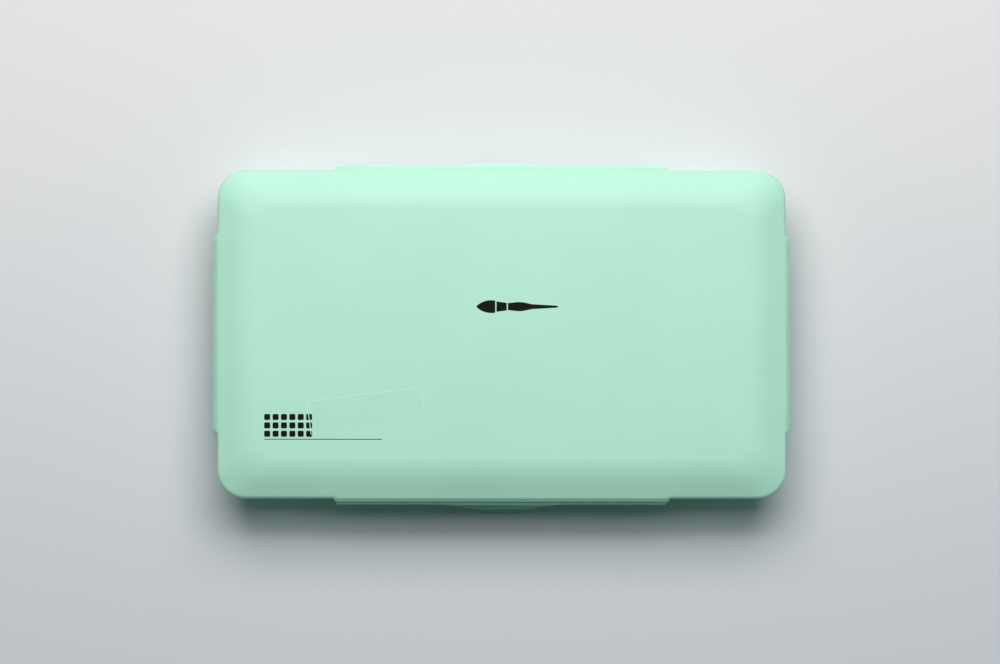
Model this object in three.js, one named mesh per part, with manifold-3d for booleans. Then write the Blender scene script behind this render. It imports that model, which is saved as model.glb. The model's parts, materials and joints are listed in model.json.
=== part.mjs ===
// A gouache paint box: a shallow tub under a crowned lid that four hinged flaps latch down.
// Inside are a rack with eighteen square paint cups and a mixing palette that lies over them.
// Millimetres, +Z up, X along the box, the front flap towards -Y.
// The origin lies on the ground under the middle of the box.

import * as THREE from 'three';
import { LoftGeometry } from 'three/addons/geometries/LoftGeometry.js';
import { mergeVertices } from 'three/addons/utils/BufferGeometryUtils.js';
import Module from 'manifold-3d';

const wasm = await Module();
wasm.setup();

// Clearances
const seatGap = 0.3;          // under every piece that rests on another
const cutOverrun = 1;         // how far a cutting shape runs past the face it cuts
const catchClearance = 0.3;   // between a flap's catch and the lug over it
const passingClearance = 0.15; // between a catch and a lug as the lid is lifted past

// The cups and their grid
const cupColumns = 6;
const cupRows = 3;
const cupPitch = 47;
const cupSpacing = 0.5;       // between the rims of two neighbours
const cupHeight = 22;
const cupWall = 1.1;
const cupRimReach = 1.9;      // how far the rim stands out over the cup's wall
const cupRimThickness = 1.4;
const cupTaper = 3;           // how much narrower each side is at the bottom
const cupCornerRadius = 8;
const cupFloorGap = 0.7;      // between a cup and the tub's floor
const paintBelowRim = 2;
const paintGap = 0.3;
const paintDome = 0.6;        // the paint stands a little higher in the middle
const paintDomeInset = 6;

// The outline that the lid's rim makes around the grid of cups
const endMargin = 19;
const sideMargin = 22;
const lidLength = cupColumns * cupPitch + 2 * endMargin;
const lidWidth = cupRows * cupPitch + 2 * sideMargin;
const lidCornerRadius = 16;
const leastCornerRadius = 3;

// The tub
const tubWall = 2;
const tubInset = 6;           // from the lid's rim in to the tub's outer wall, at the top
const tubDraft = 3.5;         // how far each side leans in from top to bottom
const tubFloor = 2;
const tubBottomRound = 5;
const footRecess = 1;         // the floor stands this high inside its foot ring
const footRingWidth = 4;
const rimAboveCups = 4.3;     // from the top of the cups to the tub's flange
const flangeInset = 1;        // from the lid's rim in to the flange's edge
const flangeThickness = 1.8;
const flangeLipWidth = 1.6;
const flangeLipDrop = 1.5;    // the flange's edge turns down by this much
const beadHeight = 3.2;       // the tub's wall goes on above the flange and presses the seal

// The lid
const lidHeight = 13.7;
const lidWall = 2;
const lidEdgeRound = 1.6;
const bandWidth = 23;         // the broad soft edge that runs round the lid's flat middle
const bandDrop = 6;
const bandCornerRadius = 10;
const crownRise = 0.8;
const sealWidth = 3;
const sealHeight = 2.2;
const sealChannelWall = 1.1;
const plugWall = 1.5;
const plugGap = 0.4;          // between the lid's inner lip and the tub's wall
const plugDepth = 3;          // how far that lip reaches down into the tub

// The ledges on the lid's rim, and the thin webs that the flaps hang from
const ledgeReach = 1.9;
const ledgeThickness = 1.1;   // the upright edge of a ledge, under its rounded top
const ledgeHeight = 3.1;      // from the lid's lower edge to a ledge's underside
const webThickness = 0.5;
const webHeight = 1.4;

// The flaps
const longFlapLength = 190;
const shortFlapLength = 113;
const flapThickness = 1.8;
const flapHeight = 16.5;
const flapReach = 2.9;        // from the lid's rim out to a flap's face
const flapTopRound = 0.9;
const flapTipThickness = 0.4; // what the bevelled ends of a flap run out to
const thumbLipLength = 73;
const thumbLipFlat = 19;
const thumbLipReach = 2.6;
const thumbLipThickness = 1.3;
const thumbLipHeight = 4.2;
const windowLength = 34;
const windowHeight = 3.6;
const longWindowOffset = 62;
const shortWindowOffset = 30;
const windowCornerRadius = 0.8;
const lugEndClearance = 1;
const lugHeight = 2.6;
const lugRound = 0.5;
const catchHeight = 1.6;
const catchRoot = 0.6;        // how deep a catch is rooted in its flap

// The rack that the cups hang in
const rackWall = 1.4;
const rackGap = 0.5;
const rackDeck = 1.8;
const dividerThickness = 2;
const cellCornerRadius = 6;

// The palette
const paletteWall = 1.2;
const paletteGap = 0.8;       // to the lid's inner lip
const paletteOverCups = 0.8;
const wellDepth = 5.5;
const wellDraft = 2;
const smallWellCount = 9;
const smallWellSize = 27;
const wellSpacing = 4.5;
const smallWellRadius = 6;
const basinCount = 3;
const basinRadius = 9;
const wellMargin = 12;        // from the palette's edge to the nearest well
const notchRadius = 14;
const notchInset = 8;         // how deep a finger notch cuts in from the palette's edge

// How finely curves are divided
const outlineSteps = 6;
const smallSteps = 3;
const ledgeSteps = 4;
const lipSteps = 4;
const bandSteps = 6;

// Heights in the closed box, from the ground up
const floorTop = footRecess + tubFloor;
const cupBottom = floorTop + cupFloorGap;
const cupTop = cupBottom + cupHeight;
const rackFoot = floorTop + seatGap;
const rackTop = cupTop - cupRimThickness - seatGap;
const flangeTop = cupTop + rimAboveCups;
const flangeBottom = flangeTop - flangeThickness;
const lugBottom = flangeBottom - flangeLipDrop;
const beadTop = flangeTop + beadHeight;
const lidBottom = flangeTop + seatGap;
const lidTop = lidBottom + lidHeight;
const sealBottom = beadTop + seatGap;
const sealTop = sealBottom + sealHeight;
const channelTop = sealTop + seatGap;
const plugBottom = flangeTop - plugDepth;
const ledgeBottom = lidBottom + ledgeHeight;
const flapTop = ledgeBottom - webHeight;
const flapBottom = flapTop - flapHeight;
const catchTop = lugBottom - catchClearance;
const paletteFoot = rackTop + seatGap;
const wellUnderside = cupTop + paletteOverCups;
const wellFloor = wellUnderside + paletteWall;
const paletteTop = wellFloor + wellDepth;

// Insets from the lid's rim
const tubInnerInset = tubInset + tubWall;
const plugInset = tubInnerInset + plugGap;
const plugInnerInset = plugInset + plugWall;
const channelInset = plugInset - sealWidth - 2 * seatGap;
const channelWallInset = channelInset - sealChannelWall;
const paletteInset = plugInnerInset + paletteGap;

// The four sides, each with its own outward direction and flap
const sides = [
  { name: 'front', turn: Math.PI, distance: lidWidth / 2, flapLength: longFlapLength,
    windowOffset: longWindowOffset, lipReach: thumbLipReach },
  { name: 'back', turn: 0, distance: lidWidth / 2, flapLength: longFlapLength,
    windowOffset: longWindowOffset, lipReach: thumbLipReach },
  { name: 'left', turn: Math.PI / 2, distance: lidLength / 2, flapLength: shortFlapLength,
    windowOffset: shortWindowOffset, lipReach: 0 },
  { name: 'right', turn: -Math.PI / 2, distance: lidLength / 2, flapLength: shortFlapLength,
    windowOffset: shortWindowOffset, lipReach: 0 },
];

// The finishes
const mint = new THREE.MeshStandardMaterial({ color: '#b6ead2', roughness: 0.42, metalness: 0 });
const white = new THREE.MeshStandardMaterial({ color: '#f1f2ee', roughness: 0.38, metalness: 0 });
const milky = new THREE.MeshStandardMaterial({ color: '#dfe7e8', roughness: 0.25, metalness: 0 });
const rubber = new THREE.MeshStandardMaterial({ color: '#e8ebe8', roughness: 0.7, metalness: 0 });
const paintColours = [
  '#f6f5ef', '#f5e23c', '#f6b81e', '#ef7a22', '#e2472b', '#c81f34',
  '#d84a86', '#8a4796', '#45419b', '#1f4fae', '#3f97d2', '#2fa7a6',
  '#1f8a5a', '#7db13c', '#c39142', '#8c4a2c', '#5d4033', '#23242a',
];

// Wraps a three.js geometry as a solid that can be joined and cut
function solidOf(geometry) {
  const bare = new THREE.BufferGeometry();
  bare.setAttribute('position', geometry.getAttribute('position'));
  bare.setIndex(geometry.getIndex());
  const merged = mergeVertices(bare);
  return new wasm.Manifold(new wasm.Mesh({
    numProp: 3,
    vertProperties: new Float32Array(merged.attributes.position.array),
    triVerts: new Uint32Array(merged.index.array),
  }));
}

// Gives a finished solid back as a named mesh
function meshOf(name, solid, material) {
  const { vertProperties, triVerts } = solid.getMesh();
  const geometry = new THREE.BufferGeometry();
  geometry.setAttribute('position', new THREE.BufferAttribute(vertProperties, 3));
  geometry.setIndex(new THREE.BufferAttribute(triVerts, 1));
  geometry.computeVertexNormals();
  return namedMesh(name, geometry, material);
}

function namedMesh(name, geometry, material) {
  const mesh = new THREE.Mesh(geometry, material);
  mesh.name = name;
  return mesh;
}

function join(solids) {
  return solids.reduce((whole, piece) => whole.add(piece));
}

function cut(solid, cutters) {
  return cutters.reduce((rest, cutter) => rest.subtract(cutter), solid);
}

// The points of a level rounded rectangle, counterclockwise from above
function roundedRing(length, width, radius, z, steps) {
  const points = [];
  const centreX = length / 2 - radius;
  const centreY = width / 2 - radius;
  const corners = [[1, 1], [-1, 1], [-1, -1], [1, -1]];
  corners.forEach(([signX, signY], quarter) => {
    for (let step = 0; step <= steps; step += 1) {
      const angle = (quarter + step / steps) * Math.PI / 2;
      const x = signX * centreX + radius * Math.cos(angle);
      const y = signY * centreY + radius * Math.sin(angle);
      points.push(new THREE.Vector3(x, y, z));
    }
  });
  return points;
}

// The lid's outline, drawn in by an inset
function outlineRing(inset, z, radius = Math.max(lidCornerRadius - inset, leastCornerRadius)) {
  return roundedRing(lidLength - 2 * inset, lidWidth - 2 * inset, radius, z, outlineSteps);
}

// A solid skinned over closed sections, with flat ends
function loft(sections) {
  return solidOf(new LoftGeometry(sections, { capStart: true, capEnd: true }));
}

// A straight-walled solid between two heights, with the lid's outline drawn in by an inset
function outlineSlab(inset, bottom, top) {
  return loft([outlineRing(inset, bottom), outlineRing(inset, top)]);
}

// A level ring of material between two insets and two heights
function outlineBand(outerInset, innerInset, bottom, top) {
  const core = outlineSlab(innerInset, bottom - cutOverrun, top + cutOverrun);
  return outlineSlab(outerInset, bottom, top).subtract(core);
}

// Sections along X, each an outline of [outward, up] pairs
function loftAlongSide(sections) {
  return new LoftGeometry(
    sections.map(({ x, outline }) => outline.map(([outward, up]) => new THREE.Vector3(x, outward, up))),
    { capStart: true, capEnd: true },
  );
}

// Where a side's own frame lies: its X along the side, its Y outward from the lid's rim
function sideMatrix({ turn, distance }) {
  const matrix = new THREE.Matrix4().makeRotationZ(turn);
  return matrix.multiply(new THREE.Matrix4().makeTranslation(0, distance, 0));
}

function placedOnSide(geometry, side) {
  return solidOf(geometry.applyMatrix4(sideMatrix(side)));
}

// The height of the lid's outer skin at a distance in from its rim:
// an arc over the soft edge, then a very shallow crown
function lidSkin(inset) {
  const bandTop = lidTop - crownRise;
  if (inset >= bandWidth) {
    const share = (inset - bandWidth) / (lidWidth / 2 - bandWidth);
    return bandTop + crownRise * (1 - (1 - share) ** 2);
  }
  const bandRadius = (bandWidth ** 2 + bandDrop ** 2) / (2 * bandDrop);
  const run = bandWidth - inset;
  return bandTop - (bandRadius - Math.sqrt(bandRadius ** 2 - run ** 2));
}

// The corner radius of the lid's skin eases from the rim's to the flat middle's
function skinCorner(inset) {
  const share = Math.min(inset / bandWidth, 1);
  return lidCornerRadius + (bandCornerRadius - lidCornerRadius) * share;
}

function skinRing(inset, drop = 0) {
  return outlineRing(inset, lidSkin(inset) - drop, skinCorner(inset));
}

// Distances in from the rim, from a first one over the soft edge and the crown
function skinInsets(first) {
  const insets = [];
  for (let step = 0; step <= bandSteps; step += 1) {
    insets.push(first + (bandWidth - first) * step / bandSteps);
  }
  const middle = lidWidth / 2 - bandCornerRadius;
  const crownMiddle = (bandWidth + middle) / 2;
  return [...insets, crownMiddle, middle];
}

// The small round between the lid's upright rim and its skin
function edgeRings() {
  const start = new THREE.Vector2(0, lidSkin(0) - lidEdgeRound);
  const corner = new THREE.Vector2(0, lidSkin(0));
  const end = new THREE.Vector2(lidEdgeRound, lidSkin(lidEdgeRound));
  const round = new THREE.QuadraticBezierCurve(start, corner, end);
  return round.getPoints(smallSteps).slice(0, -1).map(({ x, y }) => outlineRing(x, y, skinCorner(x)));
}

// A side's ledge: it carries the lid's skin on outwards and rounds it down to a short upright edge.
// Both ends are bevelled at 45 degrees, so the reach is also the bevel.
function ledge(side) {
  const outline = (reach) => {
    const top = new THREE.Vector2(-lidEdgeRound, lidSkin(lidEdgeRound));
    const shoulder = new THREE.Vector2(reach, lidSkin(0));
    const edge = new THREE.Vector2(reach, ledgeBottom + ledgeThickness);
    const skin = new THREE.QuadraticBezierCurve(edge, shoulder, top).getPoints(ledgeSteps);
    return [[-lidEdgeRound, ledgeBottom], [reach, ledgeBottom], ...skin.map(({ x, y }) => [x, y])];
  };
  const half = side.flapLength / 2;
  return placedOnSide(loftAlongSide([
    { x: -half, outline: outline(0) },
    { x: -half + ledgeReach, outline: outline(ledgeReach) },
    { x: half - ledgeReach, outline: outline(ledgeReach) },
    { x: half, outline: outline(0) },
  ]), side);
}

// The lid: a crowned shell with an upright rim, a seal channel, an inner lip and four ledges
function makeLid() {
  const shell = loft([outlineRing(0, lidBottom), ...edgeRings(), ...skinInsets(lidEdgeRound).map((s) => skinRing(s))]);
  const lip = outlineSlab(plugInset, plugBottom, channelTop);
  const body = join([shell, lip, ...sides.map(ledge)]);
  const underSkin = lidSkin(plugInnerInset) - lidWall;
  const hollow = loft([
    outlineRing(plugInnerInset, plugBottom - cutOverrun),
    outlineRing(plugInnerInset, underSkin - lidWall),
    ...skinInsets(plugInnerInset).map((s) => skinRing(s, lidWall)),
  ]);
  const channel = outlineBand(channelInset, plugInset, lidBottom - cutOverrun, channelTop);
  const rimSpace = outlineBand(lidWall, channelWallInset, lidBottom - cutOverrun, lidSkin(lidWall) - lidWall);
  return meshOf('lid', cut(body, [hollow, channel, rimSpace]), mint);
}

// The seal: a square rubber ring in the lid's channel
function makeSeal() {
  const outer = channelInset + seatGap;
  return meshOf('lid_seal', outlineBand(outer, outer + sealWidth, sealBottom, sealTop), rubber);
}

// The web is the thin strip of the lid's own plastic that bends when a flap swings
function makeWeb(side) {
  const outer = ledgeReach;
  const inner = ledgeReach - webThickness;
  const half = side.flapLength / 2 - flapReach;
  const outline = [[inner, flapTop], [outer, flapTop], [outer, ledgeBottom], [inner, ledgeBottom]];
  return meshOf(`flap_web_${side.name}`, solidOf(loftAlongSide([
    { x: -half, outline },
    { x: half, outline },
  ])), mint);
}

// How far the thumb lip stands out at a place along its flap: an S-curve up to a flat middle
function lipReachAt(x, reach) {
  const rise = (thumbLipLength - thumbLipFlat) / 2;
  const share = THREE.MathUtils.clamp((thumbLipLength / 2 - Math.abs(x)) / rise, 0, 1);
  return reach * share * share * (3 - 2 * share);
}

// The section of a flap: a plate with a rounded top and, at its middle, a lip that curls outwards
function flapOutline(reach, thickness) {
  const inner = flapReach - flapThickness;
  const outer = inner + thickness;
  const round = Math.min(flapTopRound, thickness / 2);
  const lipTop = flapBottom + thumbLipThickness;
  const curl = new THREE.QuadraticBezierCurve(
    new THREE.Vector2(outer + reach, lipTop),
    new THREE.Vector2(outer, lipTop),
    new THREE.Vector2(outer, flapBottom + thumbLipHeight),
  ).getPoints(smallSteps);
  return [
    [inner, flapBottom],
    [outer + reach, flapBottom],
    ...curl.map(({ x, y }) => [x, y]),
    [outer, flapTop - round],
    [outer - round * (1 - Math.SQRT1_2), flapTop - round * (1 - Math.SQRT1_2)],
    [outer - round, flapTop],
    [inner, flapTop],
  ];
}

// Places along a flap where its section changes: the bevelled ends and the thumb lip's curves
function flapStations({ flapLength, lipReach }) {
  const tip = flapLength / 2 - (flapReach - flapThickness);
  const stations = [{ x: tip, thickness: flapTipThickness, reach: 0 }];
  stations.push({ x: tip - (flapThickness - flapTipThickness), thickness: flapThickness, reach: 0 });
  if (lipReach > 0) {
    for (let step = 0; step <= lipSteps; step += 1) {
      const x = thumbLipLength / 2 - (thumbLipLength - thumbLipFlat) / 2 * step / lipSteps;
      stations.push({ x, thickness: flapThickness, reach: lipReachAt(x, lipReach) });
    }
  }
  const mirrored = stations.map((station) => ({ ...station, x: -station.x }));
  return [...mirrored, ...stations.reverse()];
}

// A window that one lug of the tub shows through
function makeWindow(x) {
  const height = windowHeight;
  const ring = (outward) => roundedRing(windowLength, height, windowCornerRadius, 0, smallSteps)
    .map((point) => new THREE.Vector3(x - point.x, outward, catchTop + height / 2 + point.y));
  return loft([ring(flapReach - flapThickness - cutOverrun), ring(flapReach + cutOverrun)]);
}

// A catch: a ramped rib across the foot of a window, which passes under the lug
function makeCatch(x) {
  const inner = flapReach - flapThickness;
  const tip = passingClearance;
  const outline = [
    [inner + catchRoot, catchTop - catchHeight],
    [inner + catchRoot, catchTop],
    [tip, catchTop],
    [tip, catchTop - catchHeight / 2],
    [inner, catchTop - catchHeight],
  ];
  const half = windowLength / 2;
  return solidOf(loftAlongSide([
    { x: x - half, outline },
    { x: x + half, outline },
  ]));
}

// A flap, in its side's own frame
function makeFlap(side) {
  const plate = solidOf(loftAlongSide(flapStations(side).map(({ x, thickness, reach }) => (
    { x, outline: flapOutline(reach, thickness) }))));
  const places = [-side.windowOffset, side.windowOffset];
  const solid = cut(join([plate, ...places.map(makeCatch)]), places.map(makeWindow));
  return meshOf(`flap_${side.name}`, solid, mint);
}

// How far in from the lid's rim the tub's outer wall lies at a height
function tubInsetAt(height) {
  return tubInset + tubDraft * (flangeTop - height) / (flangeTop - footRecess);
}

// A lug on the edge of the tub's flange
function makeLug(side, x) {
  const half = windowLength / 2 - lugEndClearance;
  const top = lugBottom + lugHeight;
  const outline = [
    [-flangeInset - lugRound, lugBottom],
    [-lugRound, lugBottom],
    [0, lugBottom + lugRound],
    [0, top - lugRound],
    [-flangeInset - lugRound, top + flangeInset / 2],
  ];
  return placedOnSide(loftAlongSide([
    { x: x - half, outline },
    { x: x + half, outline },
  ]), side);
}

// The tub: a drafted tray with a rounded bottom edge, a foot ring, a turned-down flange and a bead
function makeTub() {
  const roundShares = [0, 0.3, 0.7, 1];
  const bottomRings = roundShares.map((share) => {
    const height = tubBottomRound * share;
    const drawn = tubBottomRound - Math.sqrt(tubBottomRound ** 2 - (tubBottomRound - height) ** 2);
    return outlineRing(tubInsetAt(height) + drawn, height);
  });
  const body = loft([...bottomRings, outlineRing(tubInset, flangeTop), outlineRing(tubInset, beadTop)]);
  const flange = outlineSlab(flangeInset, flangeBottom - flangeLipDrop, flangeTop);
  const underFlange = outlineBand(
    flangeInset + flangeLipWidth, tubInsetAt(flangeBottom) - cutOverrun,
    flangeBottom - flangeLipDrop - cutOverrun, flangeBottom,
  );
  const flangeRing = flange.subtract(underFlange);
  const lugs = sides.flatMap((side) => [-1, 1].map((sign) => makeLug(side, sign * side.windowOffset)));
  const footInset = tubInsetAt(0) + tubBottomRound + footRingWidth;
  const recess = outlineSlab(footInset, -cutOverrun, footRecess);
  const hollow = loft([
    outlineRing(tubInsetAt(floorTop) + tubWall + tubBottomRound / 2, floorTop),
    outlineRing(tubInsetAt(floorTop + tubBottomRound / 2) + tubWall, floorTop + tubBottomRound / 2),
    outlineRing(tubInnerInset, plugBottom - plugGap),
    outlineRing(tubInnerInset, beadTop + cutOverrun),
  ]);
  return meshOf('tub', cut(join([body, flangeRing, ...lugs]), [recess, hollow]), mint);
}

// The rack: a deck on a skirt, with a square cell for each cup
function makeRack() {
  const edgeAt = (height) => tubInsetAt(height) + tubWall + rackGap;
  const foot = rackFoot + tubBottomRound / 2;
  const body = loft([
    outlineRing(edgeAt(rackFoot) + tubBottomRound / 2, rackFoot),
    outlineRing(edgeAt(foot), foot),
    outlineRing(edgeAt(rackTop), rackTop),
  ]);
  const cellSize = cupPitch - dividerThickness;
  const gridLength = cupColumns * cupPitch + dividerThickness;
  const gridWidth = cupRows * cupPitch + dividerThickness;
  const deckUnderside = rackTop - rackDeck;
  const channel = loft([
    outlineRing(edgeAt(rackFoot) + tubBottomRound / 2 + rackWall, rackFoot - cutOverrun),
    outlineRing(edgeAt(foot) + rackWall, foot),
    outlineRing(edgeAt(deckUnderside) + rackWall, deckUnderside),
  ]);
  const grid = loft([
    roundedRing(gridLength, gridWidth, cellCornerRadius, rackFoot - 2 * cutOverrun, smallSteps),
    roundedRing(gridLength, gridWidth, cellCornerRadius, rackTop, smallSteps),
  ]);
  const cell = ({ x, y }) => loft([rackFoot - 2 * cutOverrun, rackTop + cutOverrun].map((z) => (
    roundedRing(cellSize, cellSize, cellCornerRadius, z, smallSteps - 1)
      .map((point) => point.add(new THREE.Vector3(x, y, 0))))));
  return meshOf('cup_rack', cut(body, [channel.subtract(grid), ...cupPlaces().map(cell)]), white);
}

// The middles of the cups, row by row from the back, each row from the left
function cupPlaces() {
  const places = [];
  for (let row = 0; row < cupRows; row += 1) {
    for (let column = 0; column < cupColumns; column += 1) {
      places.push({
        x: (column - (cupColumns - 1) / 2) * cupPitch,
        y: ((cupRows - 1) / 2 - row) * cupPitch,
      });
    }
  }
  return places;
}

const cupRimSize = cupPitch - cupSpacing;
const cupBodySize = cupRimSize - 2 * cupRimReach;

function squareRing(size, z) {
  return roundedRing(size, size, cupCornerRadius - (cupRimSize - size) / 4, z, smallSteps);
}

// How wide the cup's hollow is at a height over the cup's bottom
function cupHollowSize(height) {
  return cupBodySize - 2 * cupWall - 2 * cupTaper * (cupHeight - height) / cupHeight;
}

// One cup, with its bottom at z = 0: a tapered square pot with a flat rim
function cupSolid() {
  const underRim = cupHeight - cupRimThickness;
  const pot = loft([squareRing(cupBodySize - 2 * cupTaper, 0), squareRing(cupBodySize, underRim)]);
  const rim = loft([squareRing(cupRimSize, underRim), squareRing(cupRimSize, cupHeight)]);
  const hollow = loft([
    squareRing(cupHollowSize(cupWall), cupWall),
    squareRing(cupHollowSize(cupHeight + cutOverrun), cupHeight + cutOverrun),
  ]);
  return pot.add(rim).subtract(hollow);
}

// The paint in one cup, with a slightly domed surface
function paintSolid() {
  const bottom = cupWall + paintGap;
  const top = cupHeight - paintBelowRim;
  return loft([
    squareRing(cupHollowSize(bottom) - 2 * paintGap, bottom),
    squareRing(cupHollowSize(top) - 2 * paintGap, top),
    squareRing(cupHollowSize(top) - 2 * paintGap - 2 * paintDomeInset, top + paintDome),
  ]);
}

function makeCups() {
  const cupGeometry = meshOf('', cupSolid(), milky).geometry;
  const paintGeometry = meshOf('', paintSolid(), milky).geometry;
  return cupPlaces().map(({ x, y }, index) => {
    const number = String(index + 1).padStart(2, '0');
    const colour = paintColours[index % paintColours.length];
    const paint = new THREE.MeshStandardMaterial({ color: colour, roughness: 0.5, metalness: 0 });
    const place = new THREE.Group();
    place.add(namedMesh(`cup_${number}`, cupGeometry, milky));
    place.add(namedMesh(`paint_${number}`, paintGeometry, paint));
    place.position.set(x, y, cupBottom);
    return place;
  });
}

// The palette's wells: a row of small ones along the back and large basins in front of it
function paletteWells() {
  const reachX = lidLength / 2 - paletteInset - wellMargin;
  const reachY = lidWidth / 2 - paletteInset - wellMargin;
  const rowPitch = (2 * reachX + wellSpacing) / smallWellCount;
  const wells = [];
  for (let index = 0; index < smallWellCount; index += 1) {
    wells.push({
      x: -reachX + rowPitch * (index + 1 / 2) - wellSpacing / 2,
      y: reachY - smallWellSize / 2,
      length: rowPitch - wellSpacing,
      width: smallWellSize,
      radius: smallWellRadius,
    });
  }
  const basinPitch = (2 * reachX + wellSpacing) / basinCount;
  const basinWidth = 2 * reachY - smallWellSize - wellSpacing;
  for (let index = 0; index < basinCount; index += 1) {
    wells.push({
      x: -reachX + basinPitch * (index + 1 / 2) - wellSpacing / 2,
      y: -reachY + basinWidth / 2,
      length: basinPitch - wellSpacing,
      width: basinWidth,
      radius: basinRadius,
    });
  }
  return wells;
}

// A well's drafted body between two heights, grown all round by a margin
function wellBody({ x, y, length, width, radius }, grow, bottom, top) {
  const ring = (draft, z) => roundedRing(
    length + 2 * (grow - draft), width + 2 * (grow - draft), radius + grow - draft, z, smallSteps,
  ).map((point) => point.add(new THREE.Vector3(x, y, 0)));
  return loft([ring(wellDraft, bottom), ring(0, top)]);
}

// The palette: a plate on a skirt, with sunk wells and a finger notch at each end
function makePalette() {
  const wells = paletteWells();
  const plateUnderside = paletteTop - paletteWall;
  const plate = outlineSlab(paletteInset, paletteFoot, paletteTop);
  const under = outlineSlab(paletteInset + paletteWall, paletteFoot - cutOverrun, plateUnderside);
  const pans = wells.map((well) => wellBody(well, paletteWall, wellUnderside, paletteTop));
  const bowls = wells.map((well) => wellBody(well, 0, wellFloor, paletteTop).add(
    wellBody(well, wellDraft * cutOverrun / wellDepth, paletteTop, paletteTop + cutOverrun)));
  const notches = [-1, 1].map((sign) => {
    const edge = lidLength / 2 - paletteInset;
    const height = paletteTop - paletteFoot + 2 * cutOverrun;
    const drill = new THREE.CylinderGeometry(notchRadius, notchRadius, height, 6 * smallSteps);
    drill.rotateX(Math.PI / 2);
    drill.translate(sign * (edge - notchInset + notchRadius), 0, (paletteTop + paletteFoot) / 2);
    return solidOf(drill);
  });
  return meshOf('palette', cut(join([plate.subtract(under), ...pans]), [...bowls, ...notches]), white);
}

const box = new THREE.Group();
box.add(makeTub(), makeRack(), ...makeCups(), makePalette(), makeLid(), makeSeal());
for (const side of sides) {
  const hung = new THREE.Group();
  hung.applyMatrix4(sideMatrix(side));
  hung.add(makeFlap(side), makeWeb(side));
  box.add(hung);
}

export default box;
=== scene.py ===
import json
import math

import bmesh
import bpy
import numpy as np
from bpy.props import FloatProperty, FloatVectorProperty, IntProperty, PointerProperty
from mathutils import Matrix, Vector


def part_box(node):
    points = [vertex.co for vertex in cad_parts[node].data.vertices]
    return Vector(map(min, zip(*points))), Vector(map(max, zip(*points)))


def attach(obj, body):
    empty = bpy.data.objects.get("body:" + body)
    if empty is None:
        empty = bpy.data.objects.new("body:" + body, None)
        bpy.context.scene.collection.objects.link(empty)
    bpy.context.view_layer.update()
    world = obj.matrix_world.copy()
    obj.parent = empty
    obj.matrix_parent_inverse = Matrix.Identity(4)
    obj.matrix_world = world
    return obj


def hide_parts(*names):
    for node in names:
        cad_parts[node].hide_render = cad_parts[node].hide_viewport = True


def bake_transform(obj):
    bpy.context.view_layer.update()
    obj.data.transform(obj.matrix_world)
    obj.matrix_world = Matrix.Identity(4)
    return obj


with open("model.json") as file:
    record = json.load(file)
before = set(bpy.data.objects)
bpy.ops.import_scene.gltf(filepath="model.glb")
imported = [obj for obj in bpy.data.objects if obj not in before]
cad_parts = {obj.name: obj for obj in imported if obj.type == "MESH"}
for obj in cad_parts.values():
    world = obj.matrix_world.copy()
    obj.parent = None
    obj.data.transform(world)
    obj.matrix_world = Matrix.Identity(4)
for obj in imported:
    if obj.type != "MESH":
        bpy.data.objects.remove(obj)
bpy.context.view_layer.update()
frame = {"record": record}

bl_info = {
    "name": "Gouache Paint Box",
    "version": (1, 0, 0),
    "blender": (4, 5, 0),
    "location": "3D View > Sidebar > Paint Box",
    "description": "Builds a paint box with a crowned lid, latch flaps, filled cups and a palette",
    "category": "Add Mesh",
}

MM = 0.001
WELD = 0.0005 * MM
SHARP_ANGLE = math.radians(38)

lid_low, lid_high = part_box("lid")
seal_low, seal_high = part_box("lid_seal")
flap_low, flap_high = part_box("flap_front")
tub_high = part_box("tub")[1]
rack_low, rack_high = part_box("cup_rack")
palette_low, palette_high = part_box("palette")
cup_low, cup_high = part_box("cup_01")
cup_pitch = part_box("cup_02")[0].x - cup_low.x


def length(millimetres, description):
    """A size, given here in millimetres and kept in metres."""
    settings = {"default": millimetres * MM, "description": description, "unit": "LENGTH", "precision": 5}
    return FloatProperty, settings


def turn(degrees, description):
    """An angle, given here in degrees."""
    return FloatProperty, {"default": math.radians(degrees), "description": description, "subtype": "ANGLE"}


def number(default, description):
    """A plain amount, or a count where the default is whole."""
    kind = IntProperty if isinstance(default, int) else FloatProperty
    return kind, {"default": default, "description": description}


def tint(shares, description):
    """A colour, given here as sRGB shares and kept as linear ones."""
    return FloatVectorProperty, {"default": linear(shares), "description": description, "subtype": "COLOR",
                                 "min": 0, "max": 1}


def linear(shares):
    """The linear values of a colour given as three sRGB shares."""
    shares = np.asarray(shares[:3], float)
    return tuple(np.where(shares > 0.04045, ((shares + 0.055) / 1.055) ** 2.4, shares / 12.92).tolist())


def record_row(table, key, value):
    """The row of one of the record's tables whose key has a value."""
    return next(row for row in frame["record"][table] if row[key] == value)


def record_colour(slot):
    """The sRGB colour that the record gives one of its material slots."""
    return record_row("materials", "slot", slot)["base_color"]


def named(group):
    """Makes a group's rows into properties, each named after its own attribute."""
    for key, (kind, settings) in group.__annotations__.items():
        group.__annotations__[key] = kind(name=key.replace("_", " ").capitalize(), **settings)
    return group


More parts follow.
